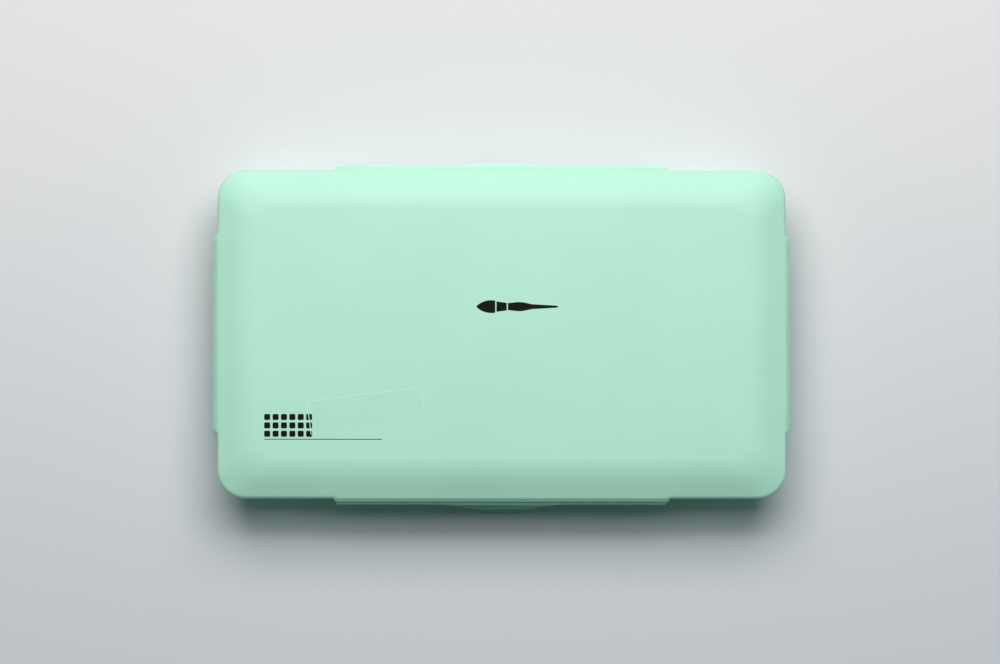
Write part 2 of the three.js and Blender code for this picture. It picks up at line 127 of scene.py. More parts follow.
@named
class PaintBoxLid(bpy.types.PropertyGroup):
    """Sizes of the lid"""
    corner: length(16, "Radius of the rim's corners seen from above")
    least_corner: length(3, "Smallest radius of an inner wall's corners")
    ledge_reach: length(1.9, "How far each ledge stands out over its flap")
    ledge_foot: length(lid_high.z / MM - 10.6, "Height of a ledge's underside")
    ledge_edge: length(1.8, "Height of a ledge's short upright edge")
    rim_foot: length(lid_low.z / MM + 3.3, "Height of the rim's lower edge")
    rim_round: length(1.6, "Radius between the upright rim and the skin")
    wall: length(2, "Thickness of the wall")
    band: length(23.5, "Width of the broad soft edge")
    band_straight: length(8, "Width of the soft edge's straight outer part")
    band_drop: length(6, "How far the skin falls over the soft edge")
    band_corner: length(10, "Radius of the corners of the flat middle")
    crown: length(0.8, "How far the middle stands over the soft edge")
    channel_inset: length(4.8, "From the rim in to the seal's channel")
    channel_wall: length(1.1, "Thickness of the channel's outer wall")
    channel_top: length(lid_low.z / MM + 9, "Height of the channel's ceiling")
    plug_inset: length(8.4, "From the rim in to the inner lip")
    plug_wall: length(1.5, "Thickness of the inner lip")
    edge: length(0.3, "Radius of the small moulded edges")
    seal_width: length(3, "Width of the seal")
    seal_edge: length(0.35, "Radius of the seal's edges")
    groove_half: length(0.6, "Half the width of the groove under the seal")
    groove_depth: length(0.5, "Depth of the groove under the seal")


@named
class PaintBoxFlaps(bpy.types.PropertyGroup):
    """Sizes of the flaps"""
    long_length: length(190, "Length of the front and back flaps with their ledges")
    short_length: length(113, "Length of the side flaps with their ledges")
    reach: length(2.9, "From the lid's rim out to a flap's face")
    thickness: length(1.8, "Thickness of a flap")
    tip: length(0.4, "Thickness that the bevelled ends run out to")
    top_round: length(0.9, "Radius of the upper outer edge")
    edge: length(0.3, "Radius of the small moulded edges")
    lip_length: length(73, "Length of the thumb lip")
    lip_flat: length(19, "Length of the lip's straight middle")
    lip_reach: length(2.6, "How far the thumb lip curls out")
    lip_thickness: length(1.3, "Thickness of the thumb lip's edge")
    lip_height: length(4.2, "Height over which the lip curls out")
    window_length: length(34, "Length of a window")
    window_height: length(3.6, "Height of a window")
    window_foot: length(tub_high.z / MM - 6.8, "Height of a window's lower edge")
    window_corner: length(0.8, "Radius of a window's corners")
    window_margin: length(1, "Width of the frame of faces round a window")
    long_offset: length(62, "From a long flap's middle to a window's middle")
    short_offset: length(30, "From a short flap's middle to a window's middle")
    catch_reach: length(0.95, "How far a catch stands in from its flap")
    catch_height: length(1.6, "Height of a catch with its ramp")
    catch_flat: length(1, "Height of a catch's full part, under its window")
    web_thickness: length(0.5, "Thickness of the bending web")
    web_waist: length(0.18, "How much thinner the web is at its middle")


@named
class PaintBoxTub(bpy.types.PropertyGroup):
    """Sizes of the tub"""
    inset: length(6, "From the lid's rim in to the wall at the flange")
    draft: length(3.5, "How far each side leans in from top to bottom")
    wall: length(2, "Thickness of the wall")
    floor: length(rack_low.z / MM - 0.3, "Height of the inner floor")
    bottom_round: length(5, "Radius of the bottom edge")
    foot_recess: length(1, "How deep the underside is hollowed")
    foot_width: length(4, "Width of the foot ring")
    flange_inset: length(1, "From the lid's rim in to the flange's edge")
    flange_top: length(tub_high.z / MM - 3.2, "Height of the flange's upper face")
    flange_thickness: length(1.8, "Thickness of the flange")
    lip_width: length(1.6, "Width of the flange's turned-down edge")
    lip_drop: length(1.5, "How far the flange's edge turns down")
    lug_height: length(2.6, "Height of a lug")
    lug_length: length(32, "Length of a lug")
    lug_round: length(0.5, "Radius of a lug's edges")
    edge: length(0.4, "Radius of the small moulded edges")


@named
class PaintBoxRack(bpy.types.PropertyGroup):
    """Sizes of the rack"""
    columns: number(6, "Cups from left to right")
    rows: number(3, "Cups from front to back")
    pitch: length(cup_pitch / MM, "From one cup's middle to the next")
    divider: length(2, "Thickness of the walls between cells")
    cell_corner: length(6, "Radius of a cell's corners")
    deck: length(1.8, "Thickness of the deck")
    wall: length(1.4, "Thickness of the skirt")
    gap: length(0.5, "Between the skirt and the tub")
    edge: length(0.4, "Radius of the edges")


@named
class PaintBoxCups(bpy.types.PropertyGroup):
    """Sizes of the cups, their paint and their films"""
    rim_reach: length(1.9, "How far the rim stands out over the wall")
    rim_thickness: length(1.4, "Thickness of the rim")
    wall: length(1.1, "Thickness of the wall")
    taper: length(3, "How much narrower each side is at the bottom")
    corner: length(8, "Radius of the rim's corners")
    bottom_round: length(2, "Radius of the bottom edge")
    edge: length(0.4, "Radius of the rim's edges")
    paint_gap: length(0.15, "Between the paint and the cup")
    paint_below: length(2, "How far the paint lies under the rim")
    meniscus: length(0.55, "How far the paint climbs at the wall")
    swirl: length(0.8, "Height of the swirl at the paint's middle")
    swirl_width: length(3.2, "Width of the swirl's peak")
    spiral_pitch: length(6.5, "From one turn of the swirl to the next")
    spiral_width: length(9, "How far out the swirl's turns reach")
    ripple: length(0.16, "Height of the paint's soft ripples")
    film_thickness: length(0.06, "Thickness of the peel-off film")
    film_inset: length(0.3, "From the rim's edge in to the film's")
    film_wrinkle: length(0.13, "Height of the film's wrinkles")
    film_curl: length(0.35, "How far the film's free corner lifts")
    seed: number(18, "Start of the ripples' and wrinkles' pattern")


@named
class PaintBoxPalette(bpy.types.PropertyGroup):
    """Sizes of the palette"""
    wall: length(1.2, "Thickness of the palette")
    corner: length(5.3, "Radius of the corners")
    margin: length(12, "From the edge to the nearest well")
    spacing: length(4.5, "Between two wells")
    depth: length(5.5, "Depth of the wells")
    draft: length(2, "How far each well's walls lean in")
    small_count: number(9, "Small wells in the back row")
    small_size: length(27, "Size of the back row from front to back")
    small_corner: length(6, "Radius of a small well's corners")
    basin_count: number(3, "Large basins in front")
    basin_corner: length(9, "Radius of a basin's corners")
    notch_radius: length(14, "Radius of the finger notches")
    notch_depth: length(8, "How deep a finger notch cuts in")
    notch_softness: length(0.35, "How far the notch's ends are rounded")
    edge: length(0.5, "Radius of the edges")
    floor_round: length(2, "Radius between a well's wall and its floor")


@named
class PaintBoxMarks(bpy.types.PropertyGroup):
    """Places of the printed marks and the clear label"""
    thickness: length(0.04, "Thickness of the ink over the lid")
    brush_x: length(8.5, "Middle of the printed brush, to the right")
    brush_y: length(15, "Middle of the printed brush, to the back")
    brush_length: length(46, "Length of the printed brush")
    brush_width: length(7.2, "Width of the printed brush's head")
    grid_x: length(-133.5, "Left edge of the printed grid and its rule")
    grid_y: length(-59.6, "Place of the rule, to the back")
    rule_length: length(66, "Length of the printed rule")
    rule_width: length(0.4, "Width of the printed rule")
    square: length(3.4, "Side of one printed square")
    square_pitch: length(4.7, "From one printed square to the next")
    label_x: length(-76.3, "Middle of the clear label, to the right")
    label_y: length(-43.9, "Middle of the clear label, to the back")
    label_length: length(65, "Length of the clear label")
    label_width: length(19, "Width of the clear label")
    label_corner: length(1.2, "Radius of the clear label's corners")
    label_turn: turn(7.2, "How far the clear label is turned")
    label_thickness: length(0.07, "Thickness of the clear label")


@named
class PaintBoxFinish(bpy.types.PropertyGroup):
    """Colours of the finishes"""
    mint: tint((0.726, 0.938, 0.853), "Colour of the shell")
    white: tint(record_colour("white_plastic"), "Colour of the rack and palette")
    milky: tint(record_colour("milky_cup"), "Colour of the cups")
    rubber: tint(record_colour("seal_rubber"), "Colour of the seal")
    film: tint(record_colour("clear_film"), "Colour of the clear films")
    ink: tint(record_colour("black_print"), "Colour of the printed marks")
    shell_roughness: number(0.5, "Roughness of the satin shell")


@named
class PaintBoxStage(bpy.types.PropertyGroup):
    """Floor, lamps and camera"""
    # Painted light: the floor is coloured darker and bluer in front of the box and paler behind it, where the
    # lamps stand, in place of the light falling off towards the front.
    floor_front: tint((0.86, 0.874, 0.905), "Colour of the floor before the box")
    floor_back: tint((0.915, 0.912, 0.925), "Colour of the floor behind the box")
    floor_fade: length(190, "From the box's middle to where either floor colour is full")
    floor_size: length(9000, "Side of the floor")
    camera_distance: length(3200, "From the camera to the lid")
    camera_tilt: turn(3.2, "How far the camera leans to the front")
    camera_lean: turn(1.2, "How far the camera leans to the left")
    target_x: length(-1.1, "Place that the camera looks at, to the right")
    target_y: length(1.1, "Place that the camera looks at, to the back")
    target_drop: length(7, "How far under the lid's top the camera looks")
    frame_width: length(562.8, "Width that the picture takes in at the lid's rim")
    lamp_tint: tint((1.0, 0.98, 0.977), "Colour of both lamps")
    lamp_width: length(1700, "Width of both lamps")
    key_power: number(20.0, "Watts of the big soft lamp behind the box")
    key_depth: length(900, "Depth of the big soft lamp")
    key_height: length(1270, "Height of the big soft lamp")
    key_distance: length(970, "How far behind the box the big lamp stands")
    top_power: number(9.5, "Watts of the weaker lamp over the box")
    top_depth: length(800, "Depth of the weaker lamp")
    top_height: length(1600, "Height of the weaker lamp")
    top_distance: length(500, "How far behind the box's middle the weaker lamp hangs")
    fill: number(0.115, "Strength of the light from all round")
    fill_low: number(0.8, "Share of that light that comes from the horizon")
    fill_front: number(0.4, "Share of that light that is left in front of the box")
    fill_tint: tint((0.76, 1.0, 0.93), "Colour of the light from all round")


GROUPS = {
    "lid": PaintBoxLid, "flaps": PaintBoxFlaps, "tub": PaintBoxTub, "rack": PaintBoxRack,
    "cups": PaintBoxCups, "palette": PaintBoxPalette, "marks": PaintBoxMarks, "finish": PaintBoxFinish,
    "stage": PaintBoxStage,
}


class PaintBoxSettings(bpy.types.PropertyGroup):
    """All the sizes and colours of the paint box"""
    __annotations__ = {name: PointerProperty(type=group, name=name.capitalize(), description=group.__doc__)
                       for name, group in GROUPS.items()}


# Meshes from grids of points

class Patch:
    """A grid of points, rows by columns. round_columns joins the last column to the first and round_rows
    the last row to the first; caps closes the first and the last row with a flat face each; kept is a
    mask of the quads that stay."""

    def __init__(self, points, round_columns=True, round_rows=False, caps=(False, False), kept=None):
        self.points = points
        self.round_columns = round_columns
        self.round_rows = round_rows
        self.caps = caps
        self.kept = kept

    def faces(self, first):
        """Lists of point numbers, counted from first: the quads of the grid, then the caps."""
        rows, columns = self.points.shape[:2]
        row = np.arange(rows if self.round_rows else rows - 1)[:, None]
        column = np.arange(columns if self.round_columns else columns - 1)
        next_row, next_column = (row + 1) % rows, (column + 1) % columns
        quads = np.stack([row * columns + column, row * columns + next_column,
                          next_row * columns + next_column, next_row * columns + column], axis=-1)
        quads = quads.reshape(-1, 4) if self.kept is None else quads[self.kept]
        ends = [np.arange(columns)[::-1], (rows - 1) * columns + np.arange(columns)]
        caps = [(end + first).tolist() for end, closed in zip(ends, self.caps) if closed]
        return (quads + first).tolist() + caps


def add_piece(name, patches, material, slot, body=None, *nodes):
    """One object from patches, whose shared edges are welded and whose faces turn outwards. It rides on its
    body where one is given, and hides the nodes that it stands for. Its slot argument is not used."""
    firsts = np.cumsum([0] + [patch.points[..., 0].size for patch in patches])
    points = np.concatenate([patch.points.reshape(-1, 3) for patch in patches])
    faces = [face for patch, first in zip(patches, firsts) for face in patch.faces(int(first))]
    mesh = bpy.data.meshes.new(name)
    mesh.from_pydata(points.tolist(), [], faces)
    work = bmesh.new()
    work.from_mesh(mesh)
    bmesh.ops.remove_doubles(work, verts=work.verts, dist=WELD)
    bmesh.ops.recalc_face_normals(work, faces=work.faces)
    open_edges = sum(not edge.is_manifold for edge in work.edges)
    work.to_mesh(mesh)
    work.free()
    if open_edges:
        raise RuntimeError(f"{name} has {open_edges} open edges")
    mesh.shade_smooth()
    mesh.set_sharp_from_angle(angle=SHARP_ANGLE)
    mesh.materials.append(material)
    piece = bpy.data.objects.new(name, mesh)
    bpy.context.scene.collection.objects.link(piece)
    if body:
        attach(piece, body)
    if nodes:
        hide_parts(*nodes)
    return piece


def rise(value, start, stop):
    """0 before start, 1 after stop, and 3t² - 2t³ between them."""
    share = np.clip((value - start) / (stop - start), 0, 1)
    return share * share * (3 - 2 * share)


def fade(value, start, stop):
    """1 before start and 0 after stop: the rest of a rise."""
    return 1 - rise(value, start, stop)


def turned(x, y, angle):
    """Places turned counterclockwise round the origin."""
    return x * math.cos(angle) - y * math.sin(angle), x * math.sin(angle) + y * math.cos(angle)


def bend(start, corner, stop, steps):
    """Points of quadratic curves: (1-t)² start + 2t(1-t) corner + t² stop. The three are arrays of
    (..., 2) pairs, and the curve's own points make a new axis before the last."""
    share = np.linspace(0, 1, steps + 1)[:, None]
    start, corner, stop = (np.asarray(each, float)[..., None, :] for each in (start, corner, stop))
    return (1 - share) ** 2 * start + 2 * share * (1 - share) * corner + share ** 2 * stop


def filleted(corners, radius, steps=3, closed=False):
    """A profile through corners, with each rounded by a quadratic curve that starts and ends a radius
    away from it, or less where its neighbour is near. An open profile keeps its two ends."""
    corners = np.asarray(corners, float)
    middle = corners if closed else corners[1:-1]
    before = np.roll(corners, 1, axis=0) if closed else corners[:-2]
    after = np.roll(corners, -1, axis=0) if closed else corners[2:]
    lengths = [np.linalg.norm(other - middle, axis=1) for other in (before, after)]
    reach = np.minimum(radius, 0.48 * np.minimum(*lengths))
    start, stop = (middle + (other - middle) * (reach / far)[:, None]
                   for other, far in zip((before, after), lengths))
    rounded = bend(start, middle, stop, steps).reshape(-1, 2)
    return rounded if closed else np.concatenate([corners[:1], rounded, corners[-1:]])


# Rounded rectangles: a track is a walk round one, counterclockwise from the lower right

class Track:
    """Stations round a rounded rectangle. share is how far each lies from the middle towards a corner's
    centre, from -1 to 1 each way, normal faces outwards, and side is 0 to 3 for the right, back, left
    and front sides and -1 on a corner."""

    def __init__(self, places_x, places_y, corner_steps):
        shares, normals, sides = [], [], []
        quarter = np.linspace(0, math.pi / 2, corner_steps + 1)[1:-1]
        for side, places in enumerate((places_y, places_x, places_y, places_x)):
            angle = side * math.pi / 2
            ahead = np.round([math.cos(angle), math.sin(angle)])
            along = np.array([-ahead[1], ahead[0]])
            shares += [ahead + places[:, None] * along, np.tile(ahead + along, (len(quarter), 1))]
            normals += [np.tile(ahead, (len(places), 1)),
                        np.stack([np.cos(angle + quarter), np.sin(angle + quarter)], axis=1)]
            sides += [np.full(len(places), side), np.full(len(quarter), -1)]
        self.share, self.normal, self.side = (np.concatenate(rows) for rows in (shares, normals, sides))

    def rings(self, half, inset, radius, height, proud=0.0):
        """Points (half - inset - radius) × share + (radius + proud) × normal, at a height: one ring a
        row. The sizes are one number a row, or one a row and station."""
        sizes = [np.asarray(size, float) for size in (inset, radius, height, proud)]
        sizes = [size[:, None] if size.ndim == 1 else size for size in sizes]
        inset, radius, height, proud, _ = np.broadcast_arrays(*sizes, np.zeros((1, len(self.share))))
        centre = half - (inset + radius)[..., None]
        flat = centre * self.share + (radius + proud)[..., None] * self.normal
        return np.concatenate([flat, height[..., None]], axis=-1)

    def carried(self, half, profile, corner):
        """Rings for a profile of (inset, height) pairs, with corners of the radius corner(inset)."""
        inset, height = profile.T
        return self.rings(half, inset, corner(inset), height)


def even_track(steps_x, steps_y, corner_steps):
    """A track with even steps along its straight sides."""
    return Track(np.linspace(-1, 1, steps_x + 1), np.linspace(-1, 1, steps_y + 1), corner_steps)


def places_along(half, marks, step):
    """Shares from -1 to 1 along a straight side of a half length: even steps, with the marked places
    and their mirror images exactly among them."""
    marked = np.concatenate([marks, -marks, [-half, half]])
    even = np.linspace(-half, half, max(2, round(2 * half / step)) + 1)
    apart = np.abs(even[:, None] - marked).min(axis=1) > step / 4
    return np.unique(np.round(np.concatenate([even[apart], marked]), 8)) / half


def rim_half(box):
    """Half the length and half the width of the lid's rim."""
    return np.array([lid_high.x, lid_high.y]) - box.lid.ledge_reach


def rim_track(box, marks_of, step, corner_steps):
    """A track round the rim, with marked places on each pair of sides: marks_of(side) lists them."""
    straight = rim_half(box) - box.lid.corner
    places = [places_along(straight[axis], marks_of(1 - axis), step) for axis in (0, 1)]
    return Track(*places, corner_steps)


def flap_length(box, side):
    """The length of the flap and ledge on a side, or on each of many, 0 to 3 as in Track."""
    return np.where(side % 2 == 1, box.flaps.long_length, box.flaps.short_length)


def window_offset(box, side):
    """From the middle of a side, or of each of many, to the middle of one of its two windows."""
    return np.where(side % 2 == 1, box.flaps.long_offset, box.flaps.short_offset)


def along_side(box, track):
    """How far each station lies from the middle of its side, and endlessly far on a corner."""
    straight = rim_half(box) - box.lid.corner
    along = np.where(track.side % 2 == 1, *(track.share * straight).T)
    return np.where(track.side < 0, np.inf, np.abs(along))


# The lid

def inset_corner(lid):
    """The corner radius of a wall that runs parallel to the rim, as a function of its inset."""
    return lambda inset: np.maximum(lid.corner - inset, lid.least_corner)


def skin_corner(lid, half, inset):
    """The skin's corner radius: it eases from the rim's to the flat middle's, and closes to nothing on
    the middle line."""
    eased = lid.corner + (lid.band_corner - lid.corner) * np.minimum(inset / lid.band, 1)
    return np.minimum(eased, half[1] - inset)


def lid_skin(lid, half, inset):
    """Height of the outer skin: straight from the rim up to run c, then a parabola, run² / 2p, that is
    level where it meets the middle, then another that rises by the crown to the middle line."""
    curved = lid.band - lid.band_straight
    spread = (curved ** 2 / 2 + lid.band_straight * curved) / lid.band_drop
    run = np.maximum(lid.band - inset, 0)
    bent = np.minimum(run, curved)
    share = np.clip((inset - lid.band) / (half[1] - lid.band), 0, 1)
    fall = bent ** 2 / (2 * spread) + (run - bent) * curved / spread
    return lid_high.z - lid.crown * (1 - share) ** 2 - fall


def rim_edge_rows(lid, half, weights):
    """The rows from the skin down to the upright rim, as insets, heights and outward shifts. Beside the
    ledges a quadratic curve rounds the rim; along them the skin breaks at the rim into a steeper plane,
    which ends in the ledge's short upright edge and turns in under it. The weights mix the two."""
    top = [lid.rim_round, lid_skin(lid, half, lid.rim_round)]
    rim_top = lid_skin(lid, half, 0.0)
    reach, edge_top, foot = lid.ledge_reach, lid.ledge_foot + lid.ledge_edge, lid.ledge_foot
    ledge = filleted([top, [0, rim_top], [-reach, edge_top], [-reach, foot], [0, foot], [0, foot - lid.edge]],
                     np.array([1.2, 1.0, 0.6, 0.6]) * lid.edge)
    plain = bend(top, [0, rim_top], [0, rim_top - lid.rim_round], 9)
    plain = np.concatenate([plain, np.linspace(plain[-1], ledge[-1], len(ledge) - len(plain) + 1)[1:]])
    inset = plain[:, :1] + 0 * weights
    proud = weights * (plain[:, :1] - ledge[:, :1])
    height = (1 - weights) * plain[:, 1:] + weights * ledge[:, 1:]
    return inset, height, proud


def lid_points(box):
    """The lid as rings: the outer skin from the middle line out to the rim, the ledges, the rim, the
    seal's channel, the inner lip, and the inner skin back to the middle line. A ledge ends in a 45
    degree ramp."""
    lid, half = box.lid, rim_half(box)
    ramp = np.array([0, 0.5, 1]) * lid.ledge_reach
    track = rim_track(box, lambda side: flap_length(box, side) / 2 - ramp, 5 * MM, 14)
    weights = np.clip((flap_length(box, track.side) / 2 - along_side(box, track)) / lid.ledge_reach, 0, 1)
    outer = np.concatenate([np.linspace(half[1], lid.band, 18)[:-1],
                            np.linspace(lid.band, lid.rim_round, 24)[:-1]])
    skin = track.rings(half, outer, skin_corner(lid, half, outer), lid_skin(lid, half, outer))
    inset, height, proud = rim_edge_rows(lid, half, weights[None, :])
    edge = track.rings(half, inset, skin_corner(lid, half, inset), height, proud)
    lip_in, channel_out = lid.plug_inset + lid.plug_wall, lid.channel_inset - lid.channel_wall
    ceiling, under = lid_skin(lid, half, np.array([lid.wall, lip_in])) - lid.wall
    walls = filleted([
        [0, lid.ledge_foot - lid.edge], [0, lid.rim_foot], [lid.wall, lid.rim_foot], [lid.wall, ceiling],
        [channel_out, ceiling], [channel_out, lid.rim_foot], [lid.channel_inset, lid.rim_foot],
        [lid.channel_inset, lid.channel_top], [lid.plug_inset, lid.channel_top], [lid.plug_inset, lid_low.z],
        [lip_in, lid_low.z], [lip_in, under - lid.wall],
    ], lid.edge)[1:]
    inner = np.concatenate([np.linspace(lip_in, lid.band, 10), np.linspace(lid.band, half[1], 10)[1:]])
    inner_corner = np.minimum(skin_corner(lid, half, inner),
                              inset_corner(lid)(lip_in) + 2 * (inner - lip_in + lid.edge))
    inner_skin = track.rings(half, inner, inner_corner, lid_skin(lid, half, inner) - lid.wall)
    return np.concatenate([skin, edge, track.carried(half, walls, inset_corner(lid)), inner_skin])


def seal_points(box):
    """The seal: a closed profile with a groove in its underside, carried round the channel."""
    lid, low, high = box.lid, seal_low.z, seal_high.z
    groove = lid.groove_half
    outer = lid_high.x - seal_high.x - lid.ledge_reach
    inner = outer + lid.seal_width
    middle = (outer + inner) / 2
    profile = filleted([[outer, low], [outer, high], [inner, high], [inner, low], [middle + groove, low],
                        [middle, low + lid.groove_depth], [middle - groove, low]], lid.seal_edge, closed=True)
    track = rim_track(box, lambda side: np.array([]), 8 * MM, 12)
    return track.carried(rim_half(box), profile, inset_corner(lid))


# Flaps, in their side's own frame: x along the side, outward from the rim, and up

SIDE_NAMES = ("right", "back", "left", "front")


def on_side(points, side, half):
    """Turns (along, outward, up) points to a side, 0 to 3 as in Track, whose rim is half away."""
    along, outward, up = np.moveaxis(np.asarray(points), -1, 0)
    return np.stack([*turned(along, outward + half[side % 2], (side - 1) * math.pi / 2), up], axis=-1)


def sections_along(along, section):
    """Points of (outward, up) sections, one for all or one each, set at places along a side."""
    section = np.broadcast_to(section, (len(along),) + section.shape[-2:])
    return np.insert(section, 0, along[:, None], axis=-1)


class Window:
    """A flap's window: a track round it, and the square frame of points that joins it to the flap."""

    def __init__(self, flaps, middle):
        self.half = np.array([flaps.window_length, flaps.window_height]) / 2
        self.middle = np.array([middle, flaps.window_foot + self.half[1]])
        self.corner = flaps.window_corner
        self.margin = flaps.window_margin
        self.track = even_track(8, 2, 4)

    def ring(self, grow):
        """The window's outline grown by a distance, as (along, up) pairs."""
        return self.middle + self.track.rings(self.half, 0.0, self.corner, 0.0, grow)[0, :, :2]

    def square(self):
        """The frame's outline: each station is pushed out along its side or corner to a rectangle."""
        outward = self.track.normal / np.abs(self.track.normal).max(axis=1, keepdims=True)
        core = (self.half - self.corner) * self.track.share
        return self.middle + core + outward * (self.corner + self.margin)

    def covers(self, along, up):
        """True for the places inside the frame."""
        reach = self.half + self.margin
        return (np.abs(along - self.middle[0]) < reach[0]) & (np.abs(up - self.middle[1]) < reach[1])


def catch_height(flaps, windows, along, up):
    """How far the catches stand in from a flap's inner face: a ramp under each window's lower edge."""
    foot = flaps.window_foot
    ramp = rise(up, foot - flaps.catch_height, foot - flaps.catch_flat) * fade(up, foot, foot + 0.4 * MM)
    ends = [fade(np.abs(along - window.middle[0]), window.half[0] - window.corner, window.half[0])
            for window in windows]
    return flaps.catch_reach * ramp * np.sum(ends, axis=0)


def flap_patches(box, side):
    """A flap as sections along its side: a plate with a rounded top, ends bevelled at 45 degrees, a lip
    that curls out in an S at the middle of its lower edge, catches on its inner face, and two windows."""
    flaps, is_long = box.flaps, side % 2
    windows = [Window(flaps, sign * window_offset(box, side)) for sign in (-1, 1)]
    inner = flaps.reach - flaps.thickness
    tip = flap_length(box, side) / 2 - inner
    bevel = flaps.thickness - flaps.tip
    lip_marks = np.linspace(flaps.lip_flat / 2, flaps.lip_length / 2, 15 * is_long)
    frame_marks = np.concatenate([window.square()[:, 0] for window in windows])
    marks = np.concatenate([[tip, tip - flaps.edge, tip - bevel], lip_marks, frame_marks])
    along = places_along(tip, marks, 4 * MM) * tip
    framed = np.any([window.covers(along, window.middle[1]) for window in windows], axis=0)
    marked = np.abs(along[:, None] - frame_marks).min(axis=1) < WELD
    along = along[marked | ~framed]
    thickness = flaps.tip + bevel * np.clip((tip - np.abs(along)) / bevel, 0, 1)
    curl = rise(flaps.lip_length / 2 - np.abs(along), 0, (flaps.lip_length - flaps.lip_flat) / 2)
    lip = is_long * flaps.lip_reach * curl
    bottom, top, lip_top = flap_low.z, flap_high.z, flap_low.z + flaps.lip_thickness
    outer = inner + thickness
    reach = outer + lip
    edge = np.minimum(flaps.edge, thickness / 3)
    lip_edge = np.minimum(flaps.edge * 1.3, lip / 2)
    top_edge = np.minimum(flaps.top_round, thickness / 2)

    def curve(*places, steps=3):
        """A bend through three (outward, up) places, at each station along the flap."""
        return bend(*(np.stack(np.broadcast_arrays(*place, along)[:2], axis=-1) for place in places), steps)

    window_rows = np.unique(np.round(windows[0].square()[:, 1], 8))
    outer_rows = np.concatenate([np.linspace(bottom + flaps.lip_height, window_rows[0], 4)[1:-1],
                                 window_rows])
    catch_foot = flaps.window_foot - flaps.catch_height
    inner_rows = np.concatenate([np.linspace(bottom + 2 * flaps.edge, catch_foot, 5),
                                 np.linspace(catch_foot, window_rows[0], 5)[1:-1], window_rows])[::-1]
    inner_face = inner - catch_height(flaps, windows, along[:, None], inner_rows)
    section = np.concatenate([
        curve((inner, bottom + edge), (inner, bottom), (inner + edge, bottom)),
        curve((reach - edge, bottom), (reach, bottom), (reach, bottom + edge)),
        curve((reach, lip_top - lip_edge), (reach, lip_top), (reach - lip_edge, lip_top), steps=4),
        curve((reach - lip_edge, lip_top), (outer, lip_top), (outer, bottom + flaps.lip_height),
              steps=10)[:, 1:],
        np.stack(np.broadcast_arrays(outer[:, None], outer_rows), axis=-1),
        curve((outer, top - top_edge), (outer, top), (outer - top_edge, top), steps=5),
        curve((inner + edge, top), (inner, top), (inner, top - edge)),
        np.stack(np.broadcast_arrays(inner_face, inner_rows), axis=-1),
    ], axis=1)
    up = (section[:-1, :, 1] + np.roll(section, -1, axis=1)[:-1, :, 1]) / 2
    middle = ((along[1:] + along[:-1]) / 2)[:, None]
    kept = ~np.any([window.covers(middle, up) for window in windows], axis=0)
    half = rim_half(box)
    plate = Patch(on_side(sections_along(along, section), side, half), caps=(True, True), kept=kept)
    return [plate] + [window_patch(flaps, windows, window, side, half) for window in windows]


def window_patch(flaps, windows, window, side, half):
    """The frame of one window: from its square on the outer face, in over a small round, through the
    flap, and out over a round to the square on the inner face, which follows the catch."""
    outer, inner, edge = flaps.reach, flaps.reach - flaps.thickness, flaps.edge
    square, wide, tight = window.square(), window.ring(edge), window.ring(0.0)
    quarter = np.linspace(0, math.pi / 2, 4)

    def face(pairs):
        """How far out the inner face, with its catch, lies at (along, up) pairs."""
        return inner - catch_height(flaps, windows, *pairs.T)

    def level(pairs, outward):
        """Pairs made into points at a distance from the rim."""
        return np.insert(pairs, 1, outward, axis=1)

    front = [level(window.ring(edge * (1 - math.sin(angle))), outer - edge * (1 - math.cos(angle)))
             for angle in quarter]
    back = [level(window.ring(edge * (1 - math.cos(angle))), face(tight) + edge * (1 - math.sin(angle)))
            for angle in quarter[:-1]]
    rows = [level(square, outer), *front, *back, level(wide, face(wide)), level(square, face(square))]
    return Patch(on_side(rows, side, half))


def web_patches(box, side):
    """A flap's web: a thin upright strip with a waist at its middle, where it bends."""
    flaps, reach = box.flaps, box.lid.ledge_reach
    end = flap_length(box, side) / 2 - flaps.reach
    share = np.linspace(0, 1, 13)
    up = flap_high.z + (box.lid.ledge_foot - flap_high.z) * share
    waist = flaps.web_waist / 2 * np.sin(math.pi * share) ** 2
    outer, inner = (np.stack([outward, up], axis=1)
                    for outward in (reach - waist, reach - flaps.web_thickness + waist))
    points = sections_along(np.linspace(-end, end, 41), np.concatenate([outer, inner[::-1]]))
    return [Patch(on_side(points, side, rim_half(box)), caps=(True, True))]


# The tub

def tub_inset(tub, height):
    """How far in from the lid's rim the tub's outer wall lies at a height: a straight draft."""
    return tub.inset + tub.draft * (tub.flange_top - height) / (tub.flange_top - tub.foot_recess)


